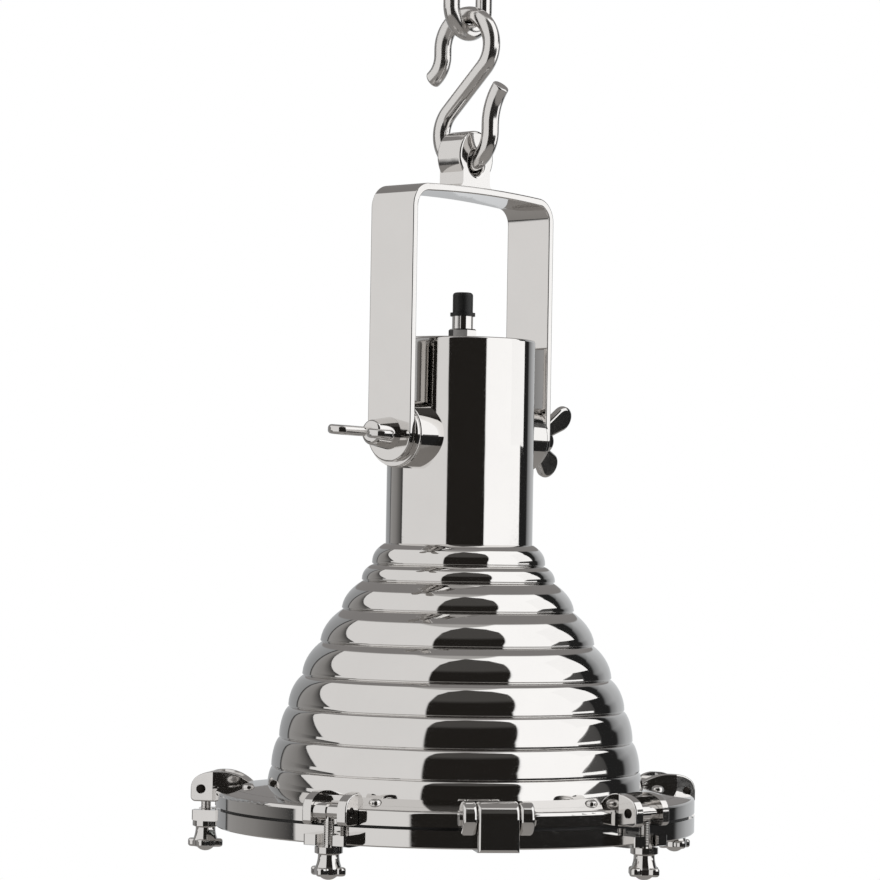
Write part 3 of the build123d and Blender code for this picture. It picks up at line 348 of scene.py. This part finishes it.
def studio_world(tree, azimuth):
    """Give the world a white background and a studio of pale walls and dark flags for reflections."""
    tree.nodes.clear()
    output = add_node(tree, "ShaderNodeOutputWorld")
    heading = add_node(tree, "ShaderNodeTexCoord").outputs["Generated"]
    ahead, aside = (
        add_node(
            tree, "ShaderNodeVectorMath", {0: heading, 1: direction}, operation="DOT_PRODUCT",
        ).outputs["Value"]
        for direction in (outwards(azimuth), sideways(azimuth)))
    height = add_node(tree, "ShaderNodeSeparateXYZ", {0: heading}).outputs["Z"]
    angle = maths(tree, "DEGREES", maths(tree, "ARCTAN2", aside, ahead))
    climb = maths(tree, "DEGREES", maths(tree, "ARCSINE", height))

    # The panels' edges bend with height, so each direction is first turned to its place in the ramps
    box_edge = follow(tree, climb, BOX_EDGE)
    straight = follow(
        tree, angle,
        ((-180, -180), (-139, -139), (follow(tree, climb, LEFT_EDGE), -101.5), (-60, -60),
         (follow(tree, climb, FLAG_LEFT), -20), (follow(tree, climb, FLAG_RIGHT), 38), (70, 70),
         (box_edge, 108), (maths(tree, "MAXIMUM", box_edge, 108.5), 110),
         (follow(tree, climb, DARK_END), 130), (180, 180)))
    share = add_node(
        tree, "ShaderNodeMapRange", {"Value": straight, "From Min": -180.0, "From Max": 180.0}).outputs[0]
    walls = wall_ramp(tree, share, (*LEFT_WALLS, FLAG_LOW, *RIGHT_WALLS))
    for limits, flag in ((MIDDLE_RISE, FLAG_MIDDLE), (HIGH_RISE, FLAG_HIGH)):
        higher = wall_ramp(tree, share, (*LEFT_WALLS, *flag, *SOFTBOX, *RIGHT_WALLS))
        walls = blend(tree, rise(tree, climb, limits), walls, higher)
    walls = blend(tree, rise(tree, climb, ROOF_RISE), walls, ROOF_COLOUR)

    # Only the steep shoulders of the ribs mirror the ceiling, so it starts at a slope and not at a height
    steep = maths(tree, "DIVIDE", maths(tree, "MULTIPLY", height, height), maths(tree, "ADD", ahead, 1.001))
    above = maths(tree, "GREATER_THAN", height, CEILING_LEAST)
    behind = maths(tree, "MULTIPLY", rise(tree, steep, CEILING_RISE), above)
    surroundings = blend(tree, behind, walls, CEILING_COLOUR)

    mirrored = add_node(tree, "ShaderNodeBackground", {"Color": surroundings, "Strength": 1.0})
    light = add_node(tree, "ShaderNodeBackground", {"Color": SOFT_LIGHT[0], "Strength": SOFT_LIGHT[1]})
    white = add_node(tree, "ShaderNodeBackground", {"Color": WHITE, "Strength": 1.0})
    path = add_node(tree, "ShaderNodeLightPath").outputs
    seen = maths(tree, "MAXIMUM", path["Is Camera Ray"], path["Is Transmission Ray"])
    shiny = add_node(
        tree, "ShaderNodeMixShader", {0: path["Is Glossy Ray"], 1: light.outputs[0], 2: mirrored.outputs[0]})
    final = add_node(tree, "ShaderNodeMixShader", {0: seen, 1: shiny.outputs[0], 2: white.outputs[0]})
    tree.links.new(final.outputs[0], output.inputs["Surface"])


class LAMP_OT_stage(bpy.types.Operator):
    """Set the pale floor, the soft lamps, the studio's walls and the camera"""

    bl_idname = "lamp.stage"
    bl_label = "Studio"

    def execute(self, context):
        studio = context.scene.lamp_studio
        context.scene.view_settings.view_transform = "Standard"
        world = context.scene.world or bpy.data.worlds.new("studio_world")
        context.scene.world = world
        world.use_nodes = True
        studio_world(world.node_tree, studio.camera_azimuth)

        bpy.ops.mesh.primitive_circle_add(
            vertices=96, radius=studio.floor_radius, fill_type="NGON", location=(0, 0, -studio.floor_depth))
        floor = context.object
        floor.name = "studio_floor"
        # Matt seamless paper, which the metal mirrors darker than the camera sees it
        paper = empty_material("matt_paper_floor")
        pale = add_node(paper.node_tree, "ShaderNodeBsdfDiffuse", {"Color": tuple(studio.floor_colour)})
        dim = add_node(paper.node_tree, "ShaderNodeBsdfDiffuse", {"Color": tuple(studio.floor_reflected)})
        path = add_node(paper.node_tree, "ShaderNodeLightPath")
        seen = add_node(
            paper.node_tree, "ShaderNodeMixShader",
            {0: path.outputs["Is Glossy Ray"], 1: pale.outputs[0], 2: dim.outputs[0]})
        add_node(paper.node_tree, "ShaderNodeOutputMaterial", {"Surface": seen.outputs[0]})
        floor.data.materials.append(paper)

        for name, place, size, power in AREA_LAMPS:
            bpy.ops.object.light_add(type="AREA", location=place)
            lamp = context.object
            lamp.name = name
            lamp.data.size = size
            lamp.data.energy = power
            lamp.visible_glossy = False
            lamp.rotation_euler = (Vector(LAMP_MIDDLE) - Vector(place)).to_track_quat("-Z", "Y").to_euler()

        # A white card close beside the lamp, which the yoke's edges mirror and the lower ribs don't
        card_azimuth = studio.camera_azimuth + studio.card_angle
        place = outwards(card_azimuth) * studio.card_distance + Vector((0, 0, studio.card_height))
        bpy.ops.mesh.primitive_plane_add(size=1.0, location=place, rotation=(math.pi / 2, 0, card_azimuth))
        card = context.object
        card.name = "white_card"
        card.scale = (*studio.card_size, 1.0)
        bpy.ops.object.transform_apply(location=True, rotation=True, scale=True)
        # Foam board lit from its own lamp, so it shines at one level all over
        foam = empty_material("white_foam_card")
        glow = add_node(
            foam.node_tree, "ShaderNodeEmission", {"Color": WHITE, "Strength": studio.card_level})
        add_node(foam.node_tree, "ShaderNodeOutputMaterial", {"Surface": glow.outputs[0]})
        card.data.materials.append(foam)
        card.visible_camera = card.visible_diffuse = card.visible_shadow = card.visible_transmission = False

        level = Vector((0, 0, studio.camera_height))
        place = outwards(studio.camera_azimuth) * studio.camera_distance + level
        beside = sideways(studio.camera_azimuth) * studio.camera_aim
        aim = Vector((0, 0, studio.camera_rise)) - beside + level
        bpy.ops.object.camera_add(location=place)
        camera = context.object
        camera.name = "photo_camera"
        turn = (aim - place).to_track_quat("-Z", "Y").to_matrix()
        camera.rotation_euler = (turn @ Matrix.Rotation(studio.camera_roll, 3, "Z")).to_euler()
        camera.data.lens = studio.camera_lens
        camera.data.sensor_width = 36.0
        context.scene.camera = camera
        return {"FINISHED"}


# How much rougher the polish gets where it is hazed, and how much of its colour the haze leaves
HAZED = 2.1
HAZE_COLOUR = 0.93
# Roughness that the wiping marks add at most
WIPING = 0.05


def polished_metal(name, colour, roughness, wave_mm, wave_height_mm, marks=None):
    """Mirror-polished metal: slow hand-polished waves, faint wiping marks and a slightly uneven sheen."""
    tree, shader, place = new_material(name)
    shader.inputs["Metallic"].default_value = 1.0
    waves = add_node(
        tree, "ShaderNodeTexNoise",
        {"Vector": place, "Scale": 1 / (wave_mm * MM), "Detail": 1.0, "Roughness": 0.4})
    # Patches 38 mm wide where the polish has hazed
    haze = add_node(
        tree, "ShaderNodeTexNoise",
        {"Vector": place, "Scale": 1 / (38 * MM), "Detail": 5.0, "Roughness": 0.62})
    sheen = add_node(
        tree, "ShaderNodeMapRange",
        {"Value": haze.outputs[0], "From Min": 0.35, "From Max": 0.75, "To Min": roughness,
         "To Max": roughness * HAZED}).outputs[0]
    if marks:
        stretched = add_node(tree, "ShaderNodeMapping", {"Vector": place, "Scale": marks})
        wiped = add_node(
            tree, "ShaderNodeTexNoise",
            {"Vector": stretched.outputs[0], "Scale": 1.0, "Detail": 3.0, "Roughness": 0.6})
        fine = add_node(
            tree, "ShaderNodeMapRange",
            {"Value": wiped.outputs[0], "From Min": 0.45, "From Max": 0.8, "To Min": 0.0, "To Max": WIPING})
        sheen = maths(tree, "ADD", sheen, fine.outputs[0])
    tree.links.new(sheen, shader.inputs["Roughness"])
    vary_colour(tree, shader, haze.outputs[0], colour, HAZE_COLOUR)
    bend_normal(tree, shader, waves.outputs[0], wave_height_mm)


def plain_finish(name, colour, roughness, grain_mm, grain_height_mm, **sockets):
    """A moulded, glazed or pressed surface with its own fine grain."""
    tree, shader, place = new_material(name)
    grain = add_node(
        tree, "ShaderNodeTexNoise",
        {"Vector": place, "Scale": 1 / (grain_mm * MM), "Detail": 4.0}).outputs[0]
    wear = add_node(
        tree, "ShaderNodeMapRange", {"Value": grain, "To Min": roughness * 0.8, "To Max": roughness * 1.3})
    tree.links.new(wear.outputs[0], shader.inputs["Roughness"])
    vary_colour(tree, shader, grain, linear(colour), 0.85)
    bend_normal(tree, shader, grain, grain_height_mm)
    for socket, value in sockets.items():
        shader.inputs[socket.replace("_", " ")].default_value = value


def clear_glass(name, colour, least):
    """Clear glass with a thin film of dust, in patches 9 mm wide, over its least roughness."""
    tree, shader, place = new_material(name)
    dust = add_node(tree, "ShaderNodeTexNoise", {"Vector": place, "Scale": 1 / (9 * MM), "Detail": 6.0})
    film = add_node(
        tree, "ShaderNodeMapRange",
        {"Value": dust.outputs[0], "From Min": 0.5, "From Max": 0.8, "To Min": least, "To Max": 0.09})
    tree.links.new(film.outputs[0], shader.inputs["Roughness"])
    shader.inputs["Base Color"].default_value = linear(colour)
    shader.inputs["Transmission Weight"].default_value = 1.0
    shader.inputs["IOR"].default_value = 1.52


class LAMP_OT_finishes(bpy.types.Operator):
    """Make the lamp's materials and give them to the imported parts"""

    bl_idname = "lamp.finishes"
    bl_label = "Finishes"

    def execute(self, context):
        nickel = tuple(context.scene.lamp_metal.nickel_colour)
        polish = context.scene.lamp_metal.polish_roughness
        # Each metal takes its roughness, then the length and height of its waves in millimetres, then how
        # many wiping marks there are to a metre along x, y and z.
        # Castings polished by hand: slow waves bend every reflection a little
        polished_metal("cast_aluminium_hand_polished", nickel, polish, 30, 0.11, (300, 300, 900))
        # Sheet spun over a former and polished as it turned: level rings, almost true reflections
        polished_metal("spun_aluminium_polished", nickel, polish, 30, 0.04, (60, 60, 2600))
        # Flat bar from the rolling mill: marks run along its legs
        polished_metal("rolled_flat_bar_nickel_plated", nickel, polish, 34, 0.05, (900, 900, 90))
        # Small castings tumbled before plating: softer highlights and short, lumpy waves
        polished_metal("cast_brass_nickel_plated", nickel, polish * 2.2, 9, 0.04)
        # Bent wire, plated but never buffed: reflections blur to broad grey bands
        polished_metal("drawn_steel_wire_nickel_plated", nickel, polish * 4.4, 14, 0.03)
        # Turned and plated parts: the sharpest mirror of all
        polished_metal("turned_steel_nickel_plated", nickel, polish, 10, 0.01)
        # Each plain finish takes its colour and roughness, then its grain's width and height in millimetres.
        # Black rubber from a steel mould: dull, with a fine matt grain
        plain_finish("moulded_neoprene", "#141414", 0.42, 0.8, 0.02)
        # Fired glaze over cream clay: glossy, with a slight orange peel
        plain_finish("glazed_porcelain", "#EDE9E0", 0.12, 6.0, 0.02, Coat_Weight=0.5)
        # Thin brass sheet from the press: yellow and satin
        plain_finish("pressed_brass", "#D8B66A", 0.24, 2.0, 0.01, Metallic=1.0)
        # Charred thread: dull dark brown
        plain_finish("carbon_filament", "#4A3A2A", 0.5, 0.5, 0.005)
        # Painted shade for the recesses round the clamp pins' ends: a dark brown metal in place of the shadow
        # there
        plain_finish("pin_recess_painted_shade", "#2E2A27", 0.38, 1.2, 0.01, Metallic=1.0)
        # Thick float glass has a faint green cast, and thin blown glass almost none
        clear_glass("float_glass_clear", "#F2F8F5", 0.02)
        clear_glass("blown_glass_clear", "#FAFAF8", 0.01)
        for node, finish in FINISHES.items():
            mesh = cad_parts[node].data
            mesh.materials.clear()
            mesh.materials.append(bpy.data.materials[finish])
        return {"FINISHED"}


class LampDetail(bpy.types.PropertyGroup):
    """Sizes of the small pieces that Blender adds."""

    thread_pitch: FloatProperty(
        name="Thread pitch", description="Rise of one turn on the swing bolts", default=1.0 * MM,
        unit="LENGTH")
    thread_crest: FloatProperty(
        name="Thread crest", description="Radius over the crests of the thread", default=3.3 * MM,
        unit="LENGTH")
    thread_root: FloatProperty(
        name="Thread root", description="Radius at the roots, just inside the shaft", default=2.85 * MM,
        unit="LENGTH")
    filament_wire: FloatProperty(
        name="Filament wire", description="Radius of the carbon filament", default=0.3 * MM, unit="LENGTH")
    filament_radius: FloatProperty(
        name="Filament cage", description="Radius of the cage of filament", default=11.0 * MM, unit="LENGTH")
    filament_height: FloatProperty(
        name="Filament height", description="Height of the cage of filament", default=40.0 * MM,
        unit="LENGTH")
    filament_loops: IntProperty(name="Filament loops", description="Hairpins round the cage", default=6)
    rib_tuck: FloatProperty(
        name="Rib tuck", description="How far each rib turns in above its lower groove", default=0.75 * MM,
        unit="LENGTH")
    groove_gap: FloatProperty(
        name="Groove", description="Height of the narrow groove between two ribs", default=0.4 * MM,
        unit="LENGTH")
    shade_wall: FloatProperty(
        name="Shade wall", description="Thickness of the spun metal", default=1.8 * MM, unit="LENGTH")
    screw_head: FloatProperty(
        name="Screw head", description="Radius of the round heads on the brim", default=3.9 * MM,
        unit="LENGTH")
    screw_rise: FloatProperty(
        name="Head height", description="Height of those heads", default=2.7 * MM, unit="LENGTH")
    # The pins' dark faces are discs of painted shade in their recessed ends
    pin_face: FloatProperty(
        name="Pin face", description="Radius of the dark faces at the ends of the clamp pins",
        default=2.8 * MM, unit="LENGTH")
    hinge_azimuth: FloatProperty(
        name="Hinge azimuth", description="Angle of the hinge round the lamp, from the front",
        default=math.radians(-41.2), subtype="ANGLE", unit="ROTATION")


def apply_modifier(piece, name, kind, **settings):
    """Give the active piece a modifier with its settings, and apply it."""
    modifier = piece.modifiers.new(name, kind)
    for setting, value in settings.items():
        setattr(modifier, setting, value)
    bpy.ops.object.modifier_apply(modifier=modifier.name)


def stations(count, start):
    """Angles of evenly spaced places round the lamp, the first one half a step past the start."""
    return [start + 2 * math.pi * (number + 0.5) / count for number in range(count)]


def face_along(piece, direction, place):
    """Turn the piece's own z axis to a direction, put it in its place, and apply both to its mesh."""
    piece.rotation_euler = direction.to_track_quat("Z", "Y").to_euler()
    piece.location = place
    bpy.ops.object.transform_apply(location=True, rotation=True, scale=True)


def join_pieces(pieces):
    """Join the pieces into the first one and make it the active object."""
    bpy.ops.object.select_all(action="DESELECT")
    for piece in pieces:
        piece.select_set(True)
    bpy.context.view_layer.objects.active = pieces[0]
    bpy.ops.object.join()


def keep_piece(name, body, finish):
    """Name the finished piece, put its place in its mesh, and let it ride on its body."""
    piece = bpy.context.object
    piece.name = name
    bpy.ops.object.transform_apply(location=True, rotation=True, scale=True)
    piece.data.materials.clear()
    piece.data.materials.append(bpy.data.materials[finish])
    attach(piece, body)
    return piece


class LAMP_OT_threads(bpy.types.Operator):
    """Cut the threads that show on the five swing bolts between the eye and the hand knob"""

    bl_idname = "lamp.threads"
    bl_label = "Bolt threads"

    def execute(self, context):
        detail = context.scene.lamp_detail
        pitch, crest, root = detail.thread_pitch, detail.thread_crest, detail.thread_root
        for number in CLAMPS:
            low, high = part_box(f"hand_knob_{number}")
            knob_top = high[2]
            eye_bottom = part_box(f"swing_bolt_{number}")[1][2] - BOLT_EYE * MM
            turns = int((eye_bottom - knob_top) / pitch) - 1
            axis = ((low[0] + high[0]) / 2, (low[1] + high[1]) / 2, knob_top + pitch)
            bpy.ops.object.select_all(action="DESELECT")
            bpy.ops.mesh.primitive_circle_add(vertices=3, radius=crest, location=axis)
            piece = context.object
            # One tooth of the thread, drawn as a closed triangle that the screw then winds upwards
            tooth = ((crest, 0, 0), (root, 0, -pitch * TOOTH_FOOT), (root, 0, pitch * TOOTH_FOOT))
            for vertex, place in zip(piece.data.vertices, tooth):
                vertex.co = place
            apply_modifier(
                piece, "winding", "SCREW", screw_offset=pitch, iterations=turns, steps=20, render_steps=20,
                use_normal_calculate=True)
            bpy.ops.object.mode_set(mode="EDIT")
            bpy.ops.mesh.select_all(action="DESELECT")
            bpy.ops.mesh.select_non_manifold()
            bpy.ops.mesh.fill_holes(sides=3)
            bpy.ops.mesh.select_all(action="SELECT")
            bpy.ops.mesh.normals_make_consistent(inside=False)
            bpy.ops.object.mode_set(mode="OBJECT")
            keep_piece(f"bolt_thread_{number}", f"swing_bolt_{number}",
                       "turned_steel_nickel_plated")
        return {"FINISHED"}


class LAMP_OT_filament(bpy.types.Operator):
    """Put the glass stem, its lead wires and the cage of filament into the bulb"""

    bl_idname = "lamp.filament"
    bl_label = "Bulb filament"

    def execute(self, context):
        detail = context.scene.lamp_detail
        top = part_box("bulb_glass")[1][2] - STEM_DROP * MM
        bpy.ops.object.select_all(action="DESELECT")
        # The stem is a flared glass tube pinched flat at its lower end
        bpy.ops.mesh.primitive_cone_add(
            vertices=40, radius1=STEM_ENDS[0] * MM, radius2=STEM_ENDS[1] * MM, depth=STEM_LENGTH * MM,
            location=(0, 0, top - STEM_LENGTH / 2 * MM))
        stem = context.object
        bpy.ops.object.mode_set(mode="EDIT")
        bpy.ops.mesh.select_all(action="SELECT")
        bpy.ops.mesh.subdivide(number_cuts=3)
        bpy.ops.object.mode_set(mode="OBJECT")
        for vertex in stem.data.vertices:
            up = max(0.0, vertex.co.z / (STEM_LENGTH * MM) + 0.5)
            waist = STEM_WAIST + (1 - STEM_WAIST) * up**STEM_FLARE
            vertex.co.x *= waist
            vertex.co.y *= waist * (STEM_PINCH + (1 - STEM_PINCH) * min(1.0, up * STEM_FLARE))
        bpy.ops.object.shade_smooth()
        keep_piece("bulb_stem", "housing", "blown_glass_clear")

        cage_top = top - CAGE_DROP * MM
        cage_low = cage_top - detail.filament_height
        points = []
        for loop in range(detail.filament_loops):
            turn = 2 * math.pi * loop / detail.filament_loops
            step = math.pi / detail.filament_loops
            for angle, level, radius in (
                (turn, cage_top, CAGE_NECK), (turn + step * 0.5, cage_low, 1.0),
                (turn + step, cage_low, 1.0), (turn + step * 1.5, cage_top, CAGE_NECK),
            ):
                reach = detail.filament_radius * radius
                points.append((reach * math.cos(angle), reach * math.sin(angle), level))
        wires = [("bulb_filament", points[:-1], detail.filament_wire, "carbon_filament", "black_rubber")]
        for name, side, end in (("bulb_lead_1", 1, points[0]), ("bulb_lead_2", -1, points[-2])):
            spread, bent = (side * width * MM for width in LEAD_SPREAD)
            route = [(spread, 0, top), (bent, 0, top - LEAD_BEND * MM), end]
            wires.append((name, route, LEAD_WIRE * MM, "turned_steel_nickel_plated", "bright_steel"))
        for name, route, radius, finish, slot in wires:
            bpy.ops.curve.primitive_nurbs_path_add()
            wire = context.object
            wire.data.splines.clear()
            spline = wire.data.splines.new("NURBS")
            spline.points.add(len(route) - 1)
            for point, place in zip(spline.points, route):
                point.co = (*place, 1.0)
            spline.order_u = 3
            spline.use_endpoint_u = True
            spline.resolution_u = 6
            wire.data.bevel_depth = radius
            wire.data.bevel_resolution = 2
            wire.data.use_fill_caps = True
            bpy.ops.object.convert(target="MESH")
            bpy.ops.object.shade_smooth()
            keep_piece(name, "housing", finish)
        return {"FINISHED"}


class LAMP_OT_shade(bpy.types.Operator):
    """Spin the shade from the profile of its ribs, with their rounded shoulders and narrow grooves"""

    bl_idname = "lamp.shade"
    bl_label = "Ribbed shade"

    def execute(self, context):
        detail = context.scene.lamp_detail
        tuck, gap = detail.rib_tuck, detail.groove_gap / 2
        points = [(COLLAR_BORE * MM, RIB_GROOVES[0][1] * MM)]
        handles = []

        def run_to(first, second, end):
            handles.append((first, second))
            points.append(end)

        def straight_to(end):
            run_to(points[-1], end, end)

        straight_to((RIB_GROOVES[0][0] * MM, RIB_GROOVES[0][1] * MM))
        last = len(RIB_SIDES) - 1
        for number, (shoulder, side) in enumerate(zip(RIB_SHOULDERS, RIB_SIDES)):
            (r0, z0), (r1, z1) = (
                [value * MM for value in groove] for groove in RIB_GROOVES[number:number + 2])
            if number:
                r0 -= tuck
                z0 -= gap
                straight_to((r0, z0))
            foot = z1 if number == last else z1 + gap + tuck
            wide, deep = r1 - r0, z0 - foot
            run_to(
                (r0 + wide * shoulder[0], z0 - deep * shoulder[1]),
                (r0 + wide * side[0], z0 - deep * side[1]), (r1, foot))
            if number < last:
                run_to(
                    (r1, foot - tuck * ROUND_CORNER), (r1 - tuck * (1 - ROUND_CORNER), z1 + gap),
                    (r1 - tuck, z1 + gap))
        straight_to((BRIM_EDGE[0] * MM, BRIM_EDGE[1] * MM))

        bpy.ops.object.select_all(action="DESELECT")
        bpy.ops.curve.primitive_bezier_curve_add()
        shade = context.object
        shade.data.splines.clear()
        spline = shade.data.splines.new("BEZIER")
        spline.bezier_points.add(len(points) - 1)
        for number, (point, (radius, height)) in enumerate(zip(spline.bezier_points, points)):
            point.handle_left_type = point.handle_right_type = "FREE"
            point.co = (radius, 0, height)
            before = handles[number - 1][1] if number else (radius, height)
            after = handles[number][0] if number < len(handles) else (radius, height)
            point.handle_left = (before[0], 0, before[1])
            point.handle_right = (after[0], 0, after[1])
        spline.resolution_u = PROFILE_STEPS
        bpy.ops.object.convert(target="MESH")
        apply_modifier(
            shade, "spinning", "SCREW", steps=SPIN_STEPS, render_steps=SPIN_STEPS, use_merge_vertices=True)
        bpy.ops.object.mode_set(mode="EDIT")
        bpy.ops.mesh.select_all(action="SELECT")
        bpy.ops.mesh.remove_doubles(threshold=0.01 * MM)
        # An open shell has no inside, so its faces are first turned to point away from the lamp's axis
        bpy.ops.mesh.normals_make_consistent(inside=True)
        bpy.ops.object.mode_set(mode="OBJECT")
        apply_modifier(shade, "wall", "SOLIDIFY", thickness=detail.shade_wall, offset=-1.0)
        bpy.ops.object.shade_smooth_by_angle(angle=math.radians(38))
        piece = keep_piece("ribbed_shade", "housing", "spun_aluminium_polished")
        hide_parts("shade")
        return {"FINISHED"}


class LAMP_OT_small_fasteners(bpy.types.Operator):
    """Round the screw heads on the brim and put dark discs of painted shade in the recessed ends of the clamp
    pins
    """

    bl_idname = "lamp.small_fasteners"
    bl_label = "Small fasteners"

    def execute(self, context):
        detail = context.scene.lamp_detail
        heads = []
        for azimuth in stations(BRIM_SCREWS, detail.hinge_azimuth):
            bpy.ops.object.select_all(action="DESELECT")
            bpy.ops.mesh.primitive_uv_sphere_add(segments=36, ring_count=18, radius=detail.screw_head)
            head = context.object
            bpy.ops.object.mode_set(mode="EDIT")
            bpy.ops.mesh.select_all(action="SELECT")
            bpy.ops.mesh.bisect(
                plane_co=(0, 0, 0), plane_no=(0, 0, 1), clear_inner=True, use_fill=True)
            bpy.ops.object.mode_set(mode="OBJECT")
            head.scale = (1, 1, detail.screw_rise / detail.screw_head)
            radius, height = BRIM_CIRCLE
            face_along(
                head, outwards(azimuth) * math.sin(BRIM_SLOPE) + Vector((0, 0, math.cos(BRIM_SLOPE))),
                outwards(azimuth) * radius * MM + Vector((0, 0, height * MM)))
            heads.append(head)
        join_pieces(heads)
        bpy.ops.object.shade_smooth_by_angle(angle=math.radians(50))
        screws = keep_piece("brim_screw_heads", "housing", "turned_steel_nickel_plated")
        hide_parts("shade_screws")

        # Dark discs at the clamp pins' ends are painted shade, for the shadow in the recesses round the pins
        faces = []
        low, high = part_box("clamp_pins")
        level = Vector((0, 0, (low[2] + high[2]) / 2))
        for azimuth in stations(len(CLAMPS), detail.hinge_azimuth):
            for side in (-1, 1):
                bpy.ops.object.select_all(action="DESELECT")
                bpy.ops.mesh.primitive_cylinder_add(
                    vertices=32, radius=detail.pin_face, depth=PIN_FACE_DEPTH * MM)
                face = context.object
                apply_modifier(face, "worn_edge", "BEVEL", width=PIN_FACE_EDGE * MM, segments=2)
                along = sideways(azimuth) * side
                face_along(face, along, outwards(azimuth) * PIN_CIRCLE * MM + along * PIN_END * MM + level)
                faces.append(face)
        join_pieces(faces)
        bpy.ops.object.shade_smooth_by_angle(angle=math.radians(40))
        keep_piece("clamp_pin_recess_shade", "housing", "pin_recess_painted_shade")
        return {"FINISHED"}


class LAMP_PT_panel(bpy.types.Panel):
    """Lists the lamp's settings and steps"""

    bl_label = "Pendant Lamp"
    bl_idname = "LAMP_PT_panel"
    bl_space_type = "VIEW_3D"
    bl_region_type = "UI"
    bl_category = "Pendant Lamp"

    def draw(self, context):
        scene = context.scene
        for group in (scene.lamp_studio, scene.lamp_metal, scene.lamp_detail):
            box = self.layout.box()
            for name in group.__annotations__:
                box.prop(group, name)
        for step in STEPS:
            self.layout.operator(step.bl_idname)


GROUPS = {"lamp_studio": LampStudio, "lamp_metal": LampMetal, "lamp_detail": LampDetail}
STEPS = (
    LAMP_OT_stage, LAMP_OT_finishes, LAMP_OT_threads, LAMP_OT_filament, LAMP_OT_shade,
    LAMP_OT_small_fasteners,
)


def register():
    """Register the classes and hang the settings on the scene."""
    for item in (*GROUPS.values(), *STEPS, LAMP_PT_panel):
        bpy.utils.register_class(item)
    for name, group in GROUPS.items():
        setattr(bpy.types.Scene, name, bpy.props.PointerProperty(type=group))


def unregister():
    """Take the settings and classes away again."""
    for name in GROUPS:
        delattr(bpy.types.Scene, name)
    for item in reversed((*GROUPS.values(), *STEPS, LAMP_PT_panel)):
        bpy.utils.unregister_class(item)


def main():
    """Build the studio and the lamp."""
    register()
    bpy.ops.object.select_all(action="DESELECT")
    bpy.ops.lamp.stage()
    bpy.ops.lamp.finishes()
    bpy.ops.lamp.threads()
    bpy.ops.lamp.filament()
    bpy.ops.lamp.shade()
    bpy.ops.lamp.small_fasteners()


if __name__ == "__main__":
    main()
